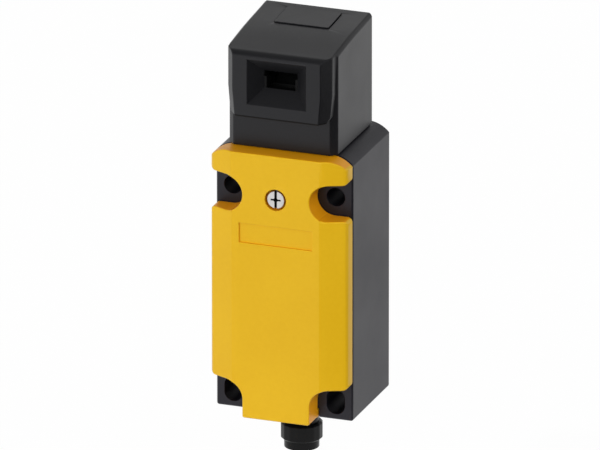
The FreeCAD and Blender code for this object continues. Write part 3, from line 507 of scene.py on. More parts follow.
def weighEdges(bm, widest, chooseWidth, crease=edgeRules["roundAbove"]):
    # each outer edge gets its own rounding as a share of the widest
    layers = bm.edges.layers.float
    layer = layers.get("bevel_weight_edge") or layers.new("bevel_weight_edge")
    for edge in bm.edges:
        if len(edge.link_faces) != 2 or not edge.is_convex:
            continue
        angle = edge.calc_face_angle(0)
        if angle < math.radians(crease):
            continue
        middle = (edge.verts[0].co + edge.verts[1].co) / 2 / mm
        edge[layer] = min(1.0, chooseWidth(middle, math.degrees(angle)) / widest)


def fromNode(node, reshape=None):
    # a merged copy of a solid's facets, with its flat faces joined into a few convex ones
    bm = bmesh.new()
    bm.from_mesh(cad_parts[node].data)
    bmesh.ops.remove_doubles(bm, verts=bm.verts, dist=edgeRules["merge"])
    flat = math.radians(edgeRules["flatTurn"])
    bmesh.ops.dissolve_limit(bm, angle_limit=flat, verts=bm.verts[:], edges=bm.edges[:])
    for edge in bm.edges:
        edge.smooth = True
    if reshape:
        reshape(bm)
    bmesh.ops.connect_verts_concave(bm, faces=bm.faces[:])
    return bm


def keep(piece, body, slotName, *nodes):
    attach(piece, body)
    if nodes:
        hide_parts(*nodes)
    return piece


def roundedNode(node, body, finish, width, chooseWidth=None, reshape=None):
    # a solid's own shape with rounded edges, widths in millimetres
    bm = fromNode(node, reshape)
    weighEdges(bm, width, chooseWidth or (lambda middle, angle: width))
    piece = newObject(node + "Shape", meshFrom(node, bm), finish)
    soften(piece, width * mm)
    return keep(piece, body, node, node)


def paintFaces(piece, finish, chosen):
    # the chosen faces take a second material: for the contact tips their silver, elsewhere painted shade
    piece.data.materials.append(finishes[finish])
    for poly in piece.data.polygons:
        if chosen(poly.center / mm, poly.normal):
            poly.material_index = 1


def lathe(profile, steps, axis="Z"):
    # turns (radius, height) points into a closed shell about Z, or about Y with height along -Y
    # an outline that starts and ends at different points gets flat ends
    bm = bmesh.new()
    rings = []
    for radius, height in profile:
        ring = []
        for i in range(steps):
            a = 2 * math.pi * i / steps
            ring.append(bm.verts.new((radius * math.cos(a) * mm, radius * math.sin(a) * mm, height * mm)))
        rings.append(ring)
    for lower, upper in zip(rings, rings[1:]):
        for i in range(steps):
            j = (i + 1) % steps
            bm.faces.new((lower[i], lower[j], upper[j], upper[i]))
    if profile[0] == profile[-1]:
        bmesh.ops.remove_doubles(bm, verts=bm.verts, dist=edgeRules["merge"])
    else:
        bm.faces.new(rings[0])
        bm.faces.new(rings[-1])
    bmesh.ops.recalc_face_normals(bm, faces=bm.faces)
    if axis == "Y":
        layOver(bm, "X")
    return bm


def layOver(bm, axis):
    bmesh.ops.rotate(bm, verts=bm.verts, matrix=Matrix.Rotation(quarterTurn, 3, axis))


def carve(piece, cutters):
    # takes the cutters out of the piece one after another
    for bm in cutters:
        tool = newObject("cutter", meshFrom("cutter", bm))
        step = piece.modifiers.new("carve", "BOOLEAN")
        step.operation = "DIFFERENCE"
        step.solver = "EXACT"
        step.object = tool
        settle(piece)
        bpy.data.objects.remove(tool)
    return piece


def chamferAll(piece, width, steps, roundAbove, smoothBelow):
    bm = bmesh.new()
    bm.from_mesh(piece.data)
    bmesh.ops.remove_doubles(bm, verts=bm.verts, dist=edgeRules["merge"])
    weighEdges(bm, width, lambda middle, angle: width, roundAbove)
    bm.to_mesh(piece.data)
    bm.free()
    return soften(piece, width * mm, steps, smoothBelow)


# node trees for what repeats


def newTree(name, sockets):
    tree = bpy.data.node_groups.new(name, "GeometryNodeTree")
    tree.interface.new_socket("Geometry", in_out="INPUT", socket_type="NodeSocketGeometry")
    tree.interface.new_socket("Geometry", in_out="OUTPUT", socket_type="NodeSocketGeometry")
    for label, kind in sockets:
        tree.interface.new_socket(label, in_out="INPUT", socket_type="NodeSocket" + kind)
    given = tree.nodes.new("NodeGroupInput").outputs
    result = tree.nodes.new("NodeGroupOutput").inputs["Geometry"]
    return tree, given, result


def runTree(obj, tree, values):
    step = obj.modifiers.new(tree.name, "NODES")
    step.node_group = tree
    for item in tree.interface.items_tree:
        if item.in_out == "INPUT" and item.name in values:
            step[item.identifier] = values[item.name]
    return settle(obj)


def realAndPainted(tree, geometry, finish):
    real = addNode(tree, "GeometryNodeRealizeInstances", {"Geometry": geometry})
    return addNode(tree, "GeometryNodeSetMaterial", {"Geometry": real, "Material": finish})


def copiesTree():
    # a part at every point, with the faces marked as recess in a darker metal as painted shade
    sockets = [("Part", "Object"), ("Size", "Float"), ("Finish", "Material"), ("Recess Finish", "Material")]
    tree, given, result = newTree("copiesAtPlaces", sockets)
    part = addNode(tree, "GeometryNodeObjectInfo", {"Object": given["Part"]}, "Geometry")
    placing = {"Points": given["Geometry"], "Instance": part, "Scale": given["Size"]}
    placed = addNode(tree, "GeometryNodeInstanceOnPoints", placing)
    painted = realAndPainted(tree, placed, given["Finish"])
    marked = {"Name": "inRecess"}
    deep = addNode(tree, "GeometryNodeInputNamedAttribute", marked, "Attribute", data_type="BOOLEAN")
    shadeFill = {"Geometry": painted, "Selection": deep, "Material": given["Recess Finish"]}
    feed(tree, result, addNode(tree, "GeometryNodeSetMaterial", shadeFill))
    return tree


def springTree():
    # a helix of round wire about an upright axis, with close turns at both ends
    lengths = ("Coil Radius", "Wire Radius", "Turns", "Close Turns", "Bottom", "Top", "Axis Y")
    sockets = [(label, "Float") for label in lengths]
    sockets += [("Steps", "Int"), ("Wire Sides", "Int"), ("Finish", "Material")]
    tree, given, result = newTree("coilSpring", sockets)
    straight = addNode(tree, "GeometryNodeCurvePrimitiveLine", {})
    path = addNode(tree, "GeometryNodeResampleCurve", {"Curve": straight, "Count": given["Steps"]})
    along = addNode(tree, "GeometryNodeSplineParameter", {}, "Factor")

    def plus(a, b):
        return calc(tree, "ADD", a, b)

    def minus(a, b):
        return calc(tree, "SUBTRACT", a, b)

    def times(a, b):
        return calc(tree, "MULTIPLY", a, b)

    def stretch(low, high):
        # from nought to one between two places along the wire
        ends = {"Value": along, "From Min": low, "From Max": high}
        return addNode(tree, "ShaderNodeMapRange", ends, "Result")

    wire = times(given["Wire Radius"], 2.0)
    endPart = calc(tree, "DIVIDE", given["Close Turns"], given["Turns"])
    farPart = minus(1.0, endPart)
    closeRise = times(wire, given["Close Turns"])
    room = minus(minus(given["Top"], given["Bottom"]), wire)
    freeRise = minus(room, times(closeRise, 2.0))
    endRise = plus(times(stretch(0.0, endPart), closeRise), times(stretch(farPart, 1.0), closeRise))
    rise = plus(endRise, times(stretch(endPart, farPart), freeRise))
    angle = times(times(along, given["Turns"]), 2 * math.pi)
    spot = addNode(tree, "ShaderNodeCombineXYZ", {
        "X": times(calc(tree, "COSINE", angle), given["Coil Radius"]),
        "Y": plus(times(calc(tree, "SINE", angle), given["Coil Radius"]), given["Axis Y"]),
        "Z": plus(plus(given["Bottom"], given["Wire Radius"]), rise),
    })
    helix = addNode(tree, "GeometryNodeSetPosition", {"Geometry": path, "Position": spot})
    ring = {"Resolution": given["Wire Sides"], "Radius": given["Wire Radius"]}
    section = addNode(tree, "GeometryNodeCurvePrimitiveCircle", ring)
    shell = {"Curve": helix, "Profile Curve": section, "Fill Caps": True}
    tube = addNode(tree, "GeometryNodeCurveToMesh", shell)
    smooth = addNode(tree, "GeometryNodeSetShadeSmooth", {"Geometry": tube})
    feed(tree, result, realAndPainted(tree, smooth, given["Finish"]))
    return tree


copiesAtPlaces = copiesTree()
coilSpring = springTree()
coilSteps = {"perTurn": 28, "wireSides": 12}


def copies(name, part, places, finish):
    mesh = bpy.data.meshes.new(name)
    mesh.from_pydata([Vector(p) * mm for p in places], [], [])
    piece = newObject(name, mesh)
    # the recess faces take a darker metal as painted shade
    runTree(piece, copiesAtPlaces, {
        "Part": part, "Size": 1.0, "Finish": finishes[finish], "Recess Finish": finishes["recessDark"],
    })
    bpy.data.objects.remove(part)
    return piece


def spring(name, sizes, bottom, top):
    piece = newObject(name, bpy.data.meshes.new(name))
    return runTree(piece, coilSpring, {
        "Coil Radius": sizes["radius"] * mm, "Wire Radius": sizes["wire"] * mm / 2,
        "Turns": sizes["turns"], "Close Turns": sizes["closeTurns"],
        "Bottom": bottom * mm, "Top": top * mm, "Axis Y": headAxisY * mm,
        "Steps": int(sizes["turns"] * coilSteps["perTurn"]), "Wire Sides": coilSteps["wireSides"],
        "Finish": finishes["springSteel"],
    })


# yellow cover

coverSize = {
    "front": -37.05,
    "frontBand": 1.0,       # how far behind the front its recess reaches at most
    "back": -29.85,
    "backBand": 0.3,
    "outerEdge": 0.42,
    "recessEdge": 0.12,
    "backEdge": 0.18,
    "brokenTurn": 50,       # degrees, the broken flank edges turn less and stay as they are
    "recessHalf": (10.9, 3.1),
    "recessZ": 19.0,
    "screwZ": 29.7,
    "screwReach": 3.5,
    "wallLean": 0.3,
    "wallReach": 19.3,
    "creaseX": 12.8,
    "creaseReach": 0.17,
    "creaseDrop": 0.07,
    "creaseGroup": 1.0,     # points this near in height close up into one
    "creaseMerge": 0.01,
    "creaseLength": 3.0,    # longer edges between such points are the creases
}


def coverEdge(p, angle):
    s = coverSize
    inRecess = abs(p.x) < s["recessHalf"][0] and abs(p.z - s["recessZ"]) < s["recessHalf"][1]
    if inRecess and p.y < s["front"] + s["frontBand"]:
        return s["recessEdge"]
    if math.hypot(p.x, p.z - s["screwZ"]) < s["screwReach"]:
        return s["recessEdge"]
    if p.y > s["back"] - s["backBand"]:
        return s["backEdge"]
    return 0.0 if angle < s["brokenTurn"] else s["outerEdge"]


def sharpCreases(bm):
    # the hair-thin breaks between the front and its flanks close up into single sharp lines
    s = coverSize
    ends = []
    for vert in bm.verts:
        besideCrease = abs(abs(vert.co.x / mm) - s["creaseX"]) < s["creaseReach"]
        vert.tag = besideCrease and vert.co.y / mm < s["front"] + s["creaseDrop"]
        if vert.tag:
            ends.append(vert)
    for vert in ends:
        beside = [v.co.z for v in ends if v.co.x * vert.co.x > 0]
        group = [z for z in beside if abs(z - vert.co.z) < s["creaseGroup"] * mm]
        vert.co.x = math.copysign(s["creaseX"] * mm, vert.co.x)
        vert.co.y = s["front"] * mm
        vert.co.z = (min(group) + max(group)) / 2
    bmesh.ops.remove_doubles(bm, verts=bm.verts, dist=s["creaseMerge"] * mm)
    for edge in bm.edges:
        low, high = edge.verts
        along = low.co - high.co
        upright = abs(along.z) > s["creaseLength"] * mm and abs(along.x) < mm
        edge.smooth = not (low.tag and high.tag and upright)


def onPaintedShadeWall(p, normal):
    # the walls across the thickness get a deeper orange than the broad faces, as painted shade
    return abs(normal.y) < coverSize["wallLean"] and abs(p.x) < coverSize["wallReach"]


cover = roundedNode("cover", "cover_group", "coverYellow", coverSize["outerEdge"], coverEdge, sharpCreases)
# painted shade: the cover's walls take the deeper orange copy
paintFaces(cover, "coverWall", onPaintedShadeWall)
print("cover done")

# dark enclosure

housingSize = {
    "front": -29.6,
    "frontBand": 1.0,
    "backBand": 0.5,
    "frontEdge": 0.13,
    "backEdge": 0.25,
    "holeEdge": 0.2,
}


def housingEdge(p, angle):
    s = housingSize
    if p.y < s["front"] + s["frontBand"]:
        return s["frontEdge"]
    return s["backEdge"] if p.y > -s["backBand"] else s["holeEdge"]


roundedNode("housing", "enclosure", "housingGrey", housingSize["backEdge"], housingEdge)
print("housing done")

# head

headSize = {
    "edge": 0.28,
    "footEdge": 0.6,        # the snout's lower edge
    "footZ": 52.5,
    "footBand": 0.3,
    "footFront": -33.5,
    "footReach": 0.9,
    "footLean": -0.2,       # faces that look further down than this are its underside
    "innerHalf": 13.45,
    "innerFront": -29.5,
    "innerBack": -4.8,
    "innerTop": 70.5,
    "mouthEdge": 0.12,
    "mouthHalf": (9.0, 7.0),
    "mouthZ": 62.4,
    "mouthFront": -36.1,
    "throatEdge": 0.04,
    "throatHalf": (5.0, 3.3),
    "throatFront": -32.5,
    "throatLift": 0.45,
    "rimLift": (0.5, 0.95),     # lower and upper edge of the funnel's rim
    "roundLow": 69.02,      # rounding between roof and front
    "roundHigh": 71.61,
    "roundBack": -33.8,
    "roundLift": 1.15,
    "roundSlack": 0.05,
    "capEdge": 0.12,
}


def nearMouth(p, half):
    s = headSize
    return abs(p.x) < half[0] and abs(p.z - s["mouthZ"]) < half[1] and p.y < s["innerFront"]


def headEdge(p, angle):
    s = headSize
    if nearMouth(p, s["throatHalf"]):
        return s["throatEdge"]
    if nearMouth(p, s["mouthHalf"]):
        return s["mouthEdge"]
    if abs(p.z - s["footZ"]) < s["footBand"] and p.y < s["footFront"]:
        return s["footEdge"]
    inside = abs(p.x) < s["innerHalf"] and s["innerFront"] < p.y < s["innerBack"] and p.z < s["innerTop"]
    return 0.0 if inside else s["edge"]


roofSize = {
    "front": -36.2,
    "back": -2.4,
    "top": 74.8,
    "slope": 5.8,           # degrees
    "bow": 0.35,
    "bands": 10,
    "skin": 1.2,            # what lies no deeper than this under the slope is bowed
    "cutReach": 0.001,
}


def bowRoof(bm):
    # the roof swells a little between its front and its back edge
    s = roofSize

    def underRoof(p):
        return s["top"] - (s["back"] - p.y / mm) * math.tan(math.radians(s["slope"])) - p.z / mm

    length = s["back"] - s["front"]
    for band in range(1, s["bands"]):
        skin = [face for face in bm.faces if all(underRoof(v.co) < s["skin"] for v in face.verts)]
        edges = {edge for face in skin for edge in face.edges}
        verts = {vert for face in skin for vert in face.verts}
        level = (0, (s["front"] + length * band / s["bands"]) * mm, 0)
        bmesh.ops.bisect_plane(bm, geom=[*verts, *edges, *skin], plane_co=level, plane_no=(0, 1, 0),
                               dist=s["cutReach"] * mm)
    for vert in bm.verts:
        share = (s["back"] - vert.co.y / mm) / length     # how far towards the front
        if 0 < share < 1 and underRoof(vert.co) < s["skin"]:
            vert.co.z += s["bow"] * math.sin(math.pi * share) ** 2 * mm


def shapeHead(bm):
    # the funnel sits a little higher than its throat, and the roof turns down more tightly above it
    s = headSize
    for vert in bm.verts:
        p = vert.co / mm
        lift = 0
        if p.y < s["roundBack"] and s["roundLow"] - s["roundSlack"] < p.z < s["roundHigh"]:
            lift = s["roundLift"] * (s["roundHigh"] - p.z) / (s["roundHigh"] - s["roundLow"])
        elif nearMouth(p, s["mouthHalf"]):
            lift = s["rimLift"][p.z > s["mouthZ"]] if p.y < s["mouthFront"] else s["throatLift"]
        vert.co.z += lift * mm
    bowRoof(bm)


def paintedShadeOnHead(p, normal):
    # the narrow end of the key opening and the snout's underside take the rotor's dull black as painted shade
    s = headSize
    inThroat = nearMouth(p, s["throatHalf"]) and p.y > s["throatFront"]
    byFoot = abs(p.z - s["footZ"]) < s["footReach"] and p.y < s["footFront"]
    return inThroat or byFoot and normal.z < s["footLean"]


hood = roundedNode("head_housing", "head", "headBlack", headSize["footEdge"], headEdge, shapeHead)
# painted shade: dull black in the throat and under the snout
paintFaces(hood, "rotorBlack", paintedShadeOnHead)
roundedNode("top_slot_cap", "head", "headBlack", headSize["capEdge"], reshape=bowRoof)
print("head done")

# round plug under the enclosure

plugSize = {
    # radius and the height where each stretch ends
    "shank": (7.9, -29.1),
    "flange": (9.6, -35.9, -37.0),
    "neck": (4.8, -42.1),
    "ring": (5.9, -47.4),
    "nose": (4.9, -49.7),
    "socket": (4.2, -41.1),
    "core": 3.55,
    "axisY": -15.75,
    "ringBreak": 0.6,
    "flats": 16,
    "flatTurn": 9.0,        # degrees
    "grooveDepth": 0.12,
    "grooveTurn": 0.1,      # degrees either side of a groove
    "slack": 0.01,
    "steps": 96,
    "edge": 0.12,
    "insertEdge": 0.08,
    "sealEdge": 0.1,
}


def plugShell():
    s = plugSize
    shank, shankTop = s["shank"]
    flange, flangeTop, flangeLow = s["flange"]
    neck, neckLow = s["neck"]
    ring, ringLow = s["ring"]
    nose, noseLow = s["nose"]
    socket, socketTop = s["socket"]
    core = s["core"]
    b = s["ringBreak"]
    bm = lathe([
        (core, shankTop), (shank, shankTop), (shank, flangeTop), (flange, flangeTop), (flange, flangeLow),
        (neck, flangeLow), (neck, neckLow), (ring - b, neckLow), (ring, neckLow - b), (ring, ringLow + b),
        (ring - b, ringLow), (nose, ringLow), (nose, noseLow), (socket, noseLow), (socket, socketTop),
        (core, socketTop), (core, shankTop),
    ], s["steps"])
    share = 360 / s["flats"]
    inner = ring * math.cos(math.radians(share / 2))
    for vert in bm.verts:
        radius = math.hypot(vert.co.x, vert.co.y) / mm
        atHeight = ringLow - s["slack"] < vert.co.z / mm < neckLow + s["slack"]
        if atHeight and radius > ring - b - s["slack"]:
            # flat grips with a fine groove between neighbours
            turn = (math.degrees(math.atan2(vert.co.y, vert.co.x)) - s["flatTurn"]) % share - share / 2
            flat = inner / math.cos(math.radians(turn)) / ring
            if abs(abs(turn) - share / 2) < s["grooveTurn"]:
                flat -= s["grooveDepth"] / ring
            vert.co.x *= flat
            vert.co.y *= flat
    bmesh.ops.translate(bm, vec=(0, s["axisY"] * mm, 0), verts=bm.verts)
    bmesh.ops.recalc_face_normals(bm, faces=bm.faces)
    piece = newObject("plugShell", meshFrom("plugShell", bm), "plugBlack")
    chamferAll(piece, s["edge"], steps=2, roundAbove=35, smoothBelow=30)
    keep(piece, "enclosure", "connector_shell", "connector_shell")


plugShell()
roundedNode("connector_insert", "enclosure", "plugBlack", plugSize["insertEdge"])
roundedNode("connector_seal", "enclosure", "sealRubber", plugSize["sealEdge"])

pinSize = {
    "radius": 0.5,
    "tip": -48.5,
    "top": -25.5,
    "tipShape": ((0.45, 0.0), (0.8, 0.18), (1.0, 0.5)),     # share of the radius, height above the tip
    "offset": 2.6 * math.sqrt(0.5),     # four pins on a ring of 2.6 mm radius
    "steps": 20,
}


def plugPins():
    s = pinSize
    profile = [(s["radius"] * share, s["tip"] + height) for share, height in s["tipShape"]]
    bm = lathe(profile + [(s["radius"], s["top"])], s["steps"])
    part = newObject("pinPart", meshFrom("pinPart", bm))
    shadeByAngle(part.data, crease=40)
    signs = [(sx, sy) for sx in (-1, 1) for sy in (-1, 1)]
    places = [(sx * s["offset"], plugSize["axisY"] + sy * s["offset"], 0) for sx, sy in signs]
    keep(copies("plugPins", part, places, "pinGold"), "enclosure", "connector_pins", "connector_pins")


plugPins()
print("plug done")

# screws

screwShape = {
    "domeTurn": (0.35, 0.3),        # shares of the dome's size at the middle of its rounding
    "threadFlat": (0.4, 0.6),       # shares of the pitch between which the thread is at its core
    "slotOver": 1.0,
    "recessRise": 1.0,
    "heartRise": 0.6,
    "heartTip": 0.4,        # share of its radius
    "heartSteps": 16,
    "recessRim": 1.05,      # share of the dome
    "recessSlack": 0.05,
}


def screwPart(s):
    # a screw along Y with its head's face at nought, slotted and cross-recessed
    c = screwShape
    h = s["headHeight"]
    r = s["head"] / 2
    shank = s["shank"] / 2
    dome, pitch, heart = s["dome"], s["pitch"], s["heart"]
    domeIn, domeDown = c["domeTurn"]
    profile = [(r - dome, 0), (r - dome * domeIn, -dome * domeDown), (r, -dome), (r, -h), (shank, -h)]
    z = -h - s["plain"]
    profile.append((shank, z))
    core = shank - s["threadDepth"]
    while z - pitch > -s["length"]:
        # thread ridges as plain rings
        profile += [(core, z - pitch * share) for share in c["threadFlat"]]
        profile.append((shank, z - pitch))
        z -= pitch
    profile.append((core, -s["length"]))
    piece = newObject("screwPart", meshFrom("screwPart", lathe(profile, s["steps"], "Y")))
    slot = (s["slotWidth"] / 2, r + c["slotOver"])
    arms = (s["crossWidth"] / 2, s["cross"] / 2)
    dimple = [(heart, c["heartRise"]), (heart, -s["slotDepth"]), (heart * c["heartTip"], -s["heartDepth"])]
    recess = recessShell(slot, arms, s["slotDepth"], s["slotUpright"])
    carve(piece, [recess, lathe(dimple, c["heartSteps"], "Y")])
    chamferAll(piece, s["break"], steps=2, roundAbove=40, smoothBelow=35)
    markRecess(piece, r, s)
    return piece


def recessShell(slot, arms, depth, upright=True):
    # the driver's slot with two arms across it, each as half width and half length, as one block
    a, far = slot
    b, c = arms
    quarter = [(a, far), (a, b), (c, b)]
    outline = quarter + [(x, -z) for x, z in reversed(quarter)]
    outline += [(-x, -z) for x, z in outline]
    if not upright:
        outline = [(z, -x) for x, z in outline]
    bm = bmesh.new()
    levels = (-screwShape["recessRise"], depth)
    ends = [[bm.verts.new((x * mm, y * mm, z * mm)) for x, z in outline] for y in levels]
    for i in range(len(outline)):
        j = (i + 1) % len(outline)
        bm.faces.new((ends[0][i], ends[0][j], ends[1][j], ends[1][i]))
    bm.faces.new(ends[0])
    bm.faces.new(ends[1])
    bmesh.ops.recalc_face_normals(bm, faces=bm.faces)
    return bm


def markRecess(piece, radius, s):
    # the faces down in the slot and the cross, for their darker metal as painted shade
    mark = piece.data.attributes.new("inRecess", "BOOLEAN", "FACE")
    rim = radius - s["dome"] * screwShape["recessRim"]
    floor = s["heartDepth"] + screwShape["recessSlack"]
    for poly in piece.data.polygons:
        c = poly.center / mm
        mark.data[poly.index].value = math.hypot(c.x, c.z) < rim and s["break"] < c.y < floor


def fitScrews(name, sizes, places, body, node):
    keep(copies(name, screwPart(sizes), places, "zincBright"), body, node, node)


coverScrewSize = {
    "head": 5.2, "headHeight": 2.2, "dome": 0.35, "break": 0.05, "steps": 64,
    "shank": 3.9, "length": 12.3, "plain": 2.0, "pitch": 0.7, "threadDepth": 0.3,
    "slotWidth": 0.7, "slotDepth": 0.9, "slotUpright": True,
    "cross": 2.9, "crossWidth": 0.45, "heart": 0.62, "heartDepth": 1.5,
    "place": (0, -36.75, 29.7),
}
terminalScrewSize = {
    "head": 4.8, "headHeight": 1.8, "dome": 0.4, "break": 0.05, "steps": 40,
    "shank": 3.0, "length": 10.35, "plain": 1.8, "pitch": 0.5, "threadDepth": 0.22,
    "slotWidth": 0.75, "slotDepth": 0.7, "slotUpright": False,
    "cross": 3.0, "crossWidth": 0.6, "heart": 0.65, "heartDepth": 1.2,
    "x": 10.45, "front": -20.6,
}
blockScrewSize = {
    "head": 4.4, "headHeight": 1.6, "dome": 0.45, "break": 0.05, "steps": 32,
    "shank": 2.4, "length": 8.2, "plain": 5.0, "pitch": 0.6, "threadDepth": 0.2,
    "slotWidth": 0.7, "slotDepth": 0.6, "slotUpright": False,
    "cross": 2.6, "crossWidth": 0.55, "heart": 0.6, "heartDepth": 1.0,
    "x": 9.0, "front": -9.6, "z": -13.5,
}


def pairOf(sizes, heights):
    # places left and right at each height
    return [(sx * sizes["x"], sizes["front"], z) for sx in (-1, 1) for z in heights]


fitScrews("coverScrew", coverScrewSize, [coverScrewSize["place"]], "cover_group", "cover_screw")
terminalPlaces = pairOf(terminalScrewSize, rowZ)
fitScrews("terminalScrews", terminalScrewSize, terminalPlaces, "enclosure", "terminal_screws")
blockPlaces = pairOf(blockScrewSize, [blockScrewSize["z"]])
fitScrews("blockScrews", blockScrewSize, blockPlaces, "enclosure", "block_screws")

headScrewSize = {
    "head": 4.4, "rimIn": 0.08, "rim": 0.06,
    "shank": 2.5, "plain": 1.0, "pitch": 0.6, "threadDepth": 0.2, "threadFlat": (0.25, 0.38),
    "point": 0.5,           # share of the shank
    "cross": 2.4, "crossWidth": 0.5, "crossDepth": 0.7,
    "bottom": 42.6, "top": 51.0, "x": 10.9, "rows": (-26.9, -7.4), "break": 0.04, "steps": 32,
}


def headScrews():
    # countersunk screws with their heads' faces downwards
    s = headScrewSize
    r, q = s["head"] / 2, s["shank"] / 2
    top = s["top"] - s["bottom"]
    pitch = s["pitch"]
    profile = [(r - s["rimIn"], 0), (r, s["rim"]), (q, r - q + s["rim"])]
    z = r - q + s["plain"]
    profile.append((q, z))
    while z + pitch < top - pitch:
        profile += [(q - s["threadDepth"], z + rise) for rise in s["threadFlat"]]
        profile.append((q, z + pitch))
        z += pitch
    profile.append((q * s["point"], top))
    piece = newObject("headScrewPart", meshFrom("headScrewPart", lathe(profile, s["steps"])))
    arms = (s["crossWidth"] / 2, s["cross"] / 2)
    cross = recessShell(arms, arms, s["crossDepth"])
    layOver(cross, "X")
    carve(piece, [cross])
    chamferAll(piece, s["break"], steps=1, roundAbove=40, smoothBelow=35)
    places = [(sx * s["x"], y, s["bottom"]) for sx in (-1, 1) for y in s["rows"]]
    keep(copies("headScrews", piece, places, "zincBright"), "head", "head_screws", "head_screws")


headScrews()
print("screws done")

# springs

plungerSpringSize = {
    "radius": 2.75, "wire": 0.45, "turns": 4.0, "closeTurns": 0.75, "bottom": 39.5, "top": 42.25,
}
returnSpringSize = {
    "radius": 1.5, "wire": 0.4, "turns": 5.5, "closeTurns": 0.75, "bottom": -9.2, "top": -4.7,
}
contactSpringSize = {
    "radius": 0.85, "wire": 0.26, "turns": 4.5, "closeTurns": 0.7, "height": 2.0,
    "drops": (4.0, 4.0, 0.0),       # from each contact row to its spring's lower end
}


def slideSpring(name, sizes, standing, moving, node):
    # shortens between its standing and its moving end
    piece = spring(name, sizes, sizes["bottom"], sizes["top"])
    low, high = [(0, headAxisY * mm, sizes[end] * mm) for end in ("bottom", "top")]
    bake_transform(piece, standing, moving, low, high)
    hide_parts(node)


def contactSprings():
    s = contactSpringSize
    for index, (row, drop) in enumerate(zip(rowZ, s["drops"])):
        piece = spring("contactCoil" + str(index + 1), s, row - drop, row - drop + s["height"])
        keep(piece, "carrier", "contact_springs", "contact_springs")


slideSpring("plungerCoil", plungerSpringSize, "head", "plunger_body", "plunger_spring")
slideSpring("returnCoil", returnSpringSize, "enclosure", "carrier", "return_spring")
contactSprings()
print("springs done")

# contact block and what it carries

blockSize = {"blockEdge": 0.18, "carrierEdge": 0.14, "clampEdge": 0.14, "stripEdge": 0.1}
roundedNode("contact_block", "enclosure", "blockGrey", blockSize["blockEdge"])
roundedNode("contact_carrier", "carrier", "carrierRed", blockSize["carrierEdge"])
roundedNode("terminal_clamps", "enclosure", "sheetSteel", blockSize["clampEdge"])

# bars and strips as the rows that they belong to, with their lower and upper face from the row's height
contactBars = {
    "nc_bridges": {"body": "carrier", "rows": rowZ[:2], "faces": (-2.0, -1.2)},
    "no_bridge": {"body": "carrier", "rows": rowZ[2:], "faces": (-0.8, 0.0)},
    "nc_fixed_contacts": {"body": "enclosure", "rows": rowZ[:2], "faces": (2.88, 3.7)},
    "no_fixed_contacts": {"body": "enclosure", "rows": rowZ[2:], "faces": (-2.7, -1.9)},
}
tipSize = {"x": 5.0, "radius": 1.03, "slack": 0.02}


def contactPiece(node, bar):
    # faces of the contact tips, outside the bars' own thickness, are silver
    s = tipSize
    low, high = bar["faces"]

    def onTip(p, normal):
        inBar = any(row + low - s["slack"] < p.z < row + high + s["slack"] for row in bar["rows"])
        return not inBar and math.hypot(abs(p.x) - s["x"], p.y - headAxisY) < s["radius"]

    paintFaces(roundedNode(node, bar["body"], "contactBrass", blockSize["stripEdge"]), "tipSilver", onTip)


for node, bar in contactBars.items():
    contactPiece(node, bar)

numberSize = {
    "height": 1.7,
    "fontShare": 1.4,       # font size over the height of a figure
    "raise": 0.12,
    "front": -22.0,
    "x": 10.45,
    "drops": (4.25, 4.25, 4.6),
    "marks": (("11", "12"), ("21", "22"), ("33", "34")),
}


def terminalNumber(mark, x, z):
    s = numberSize
    text = bpy.data.curves.new("mark" + mark, "FONT")
    text.body = mark
    text.size = s["height"] * mm * s["fontShare"]
    text.extrude = s["raise"] * mm
    text.align_x = "CENTER"
    text.align_y = "CENTER"
    mesh = curveMesh(text)
    mesh.transform(Matrix.Rotation(quarterTurn, 4, "X"))
    mesh.transform(Matrix.Translation(Vector((x, s["front"], z)) * mm))
    keep(newObject("terminalMark" + mark, mesh, "numberGrey"), "enclosure", "contact_block")


for row, drop, pair in zip(rowZ, numberSize["drops"], numberSize["marks"]):
    for side, mark in zip((-1, 1), pair):
        terminalNumber(mark, side * numberSize["x"], row - drop)
print("contacts done")

# wires from the plug to the terminals

wireSize = {
    "radius": 0.65,
    "runX": 14.5,
    "laneY": (-19.1, -17.5),        # of the wires to the upper and the middle row
    "level": (-17.8, -14.4),
    "laneStep": 1.6,
    "pinTop": -25.4,
    "terminalY": -17.5,
    "endX": 13.4,
    "endDrop": 2.12,
    "sides": 5,
    "bendSteps": 10,
    "order": 3,
    "core": 0.42,
    "coreEnd": 8.2,
    "coreTip": (0.8, 0.1),          # share of the radius at the ends, length of the taper
    "coreSteps": 16,
}
wireColours = {(-1, 0): "wireBrown", (-1, 1): "wireBlue", (1, 0): "wireWhite", (1, 1): "wireBlack"}


def wireRoute(side, row):
    s = wireSize
    pinX = side * pinSize["offset"]
    pinY = plugSize["axisY"] + (-1, 1)[row] * pinSize["offset"]
    runX = side * s["runX"]
    laneY, level = s["laneY"][row], s["level"][row]
    endZ = rowZ[row] - s["endDrop"]
    route = [(pinX, pinY, s["pinTop"]), (pinX, pinY, level), (runX, laneY, level)]
    if row == 0:
        route.append((runX, laneY, endZ - s["laneStep"]))
    return route + [(runX, s["terminalY"], endZ), (side * s["endX"], s["terminalY"], endZ)]


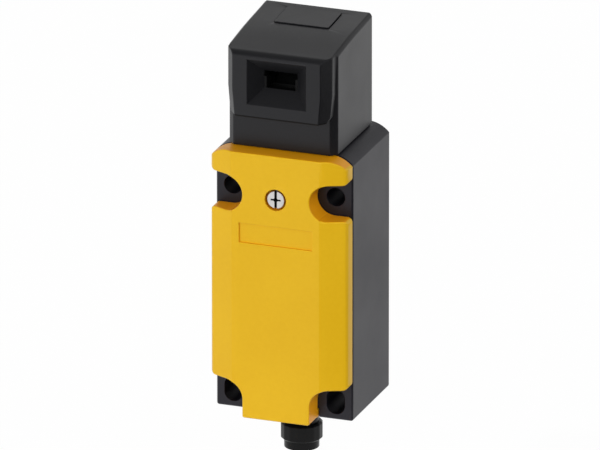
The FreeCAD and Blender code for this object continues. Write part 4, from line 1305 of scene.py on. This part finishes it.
def leadWire(side, row, finish):
    s = wireSize
    route = wireRoute(side, row)
    curve = bpy.data.curves.new("leadWire", "CURVE")
    curve.dimensions = "3D"
    curve.bevel_depth = s["radius"] * mm
    curve.bevel_resolution = s["sides"]
    curve.resolution_u = s["bendSteps"]
    curve.use_fill_caps = True
    line = curve.splines.new("NURBS")
    line.points.add(len(route) - 1)
    for point, place in zip(line.points, route):
        point.co = (*(Vector(place) * mm), 1)
    line.order_u = s["order"]
    line.use_endpoint_u = True
    mesh = curveMesh(curve)
    shadeByAngle(mesh, crease=50)
    piece = newObject("leadWire" + finish.removeprefix("wire"), mesh, finish)
    keep(piece, "enclosure", "lead_wires", "lead_wires")


def wireCores():
    # bare tinned ends under the terminal clamps
    s = wireSize
    half = (s["endX"] - s["coreEnd"]) / 2
    middle = (s["endX"] + s["coreEnd"]) / 2
    places = [(side * middle, s["terminalY"], rowZ[row] - s["endDrop"]) for side, row in wireColours]
    r = s["core"]
    share, taper = s["coreTip"]
    bm = lathe([(r * share, -half), (r, -half + taper), (r, half - taper), (r * share, half)], s["coreSteps"])
    layOver(bm, "Y")
    part = newObject("corePart", meshFrom("corePart", bm))
    shadeByAngle(part.data, crease=40)
    keep(copies("wireCores", part, places, "tinnedCopper"), "enclosure", "lead_wires", "lead_wires")


for (side, row), finish in wireColours.items():
    leadWire(side, row, finish)
wireCores()
print("wires done")

# inner pieces of the head and the seals

innerPieces = {
    "head_base": {"body": "head", "finish": "headBlack", "edge": 0.12},
    "head_seal": {"body": "head", "finish": "sealRubber", "edge": 0.1},
    "rotor": {"body": "cam", "finish": "rotorBlack", "edge": 0.2},
    "rotor_axle": {"body": "head", "finish": "sheetSteel", "edge": 0.15},
    "plunger": {"body": "plunger_body", "finish": "slideWhite", "edge": 0.15},
    "head_lock_fork": {"body": "enclosure", "finish": "sheetSteel", "edge": 0.12},
    "cover_gasket": {"body": "cover_group", "finish": "sealRubber", "edge": 0.15},
    "screw_retainer": {"body": "cover_group", "finish": "slideWhite", "edge": 0.08},
}
for node, sizes in innerPieces.items():
    roundedNode(node, sizes["body"], sizes["finish"], sizes["edge"])
print("inner pieces done")
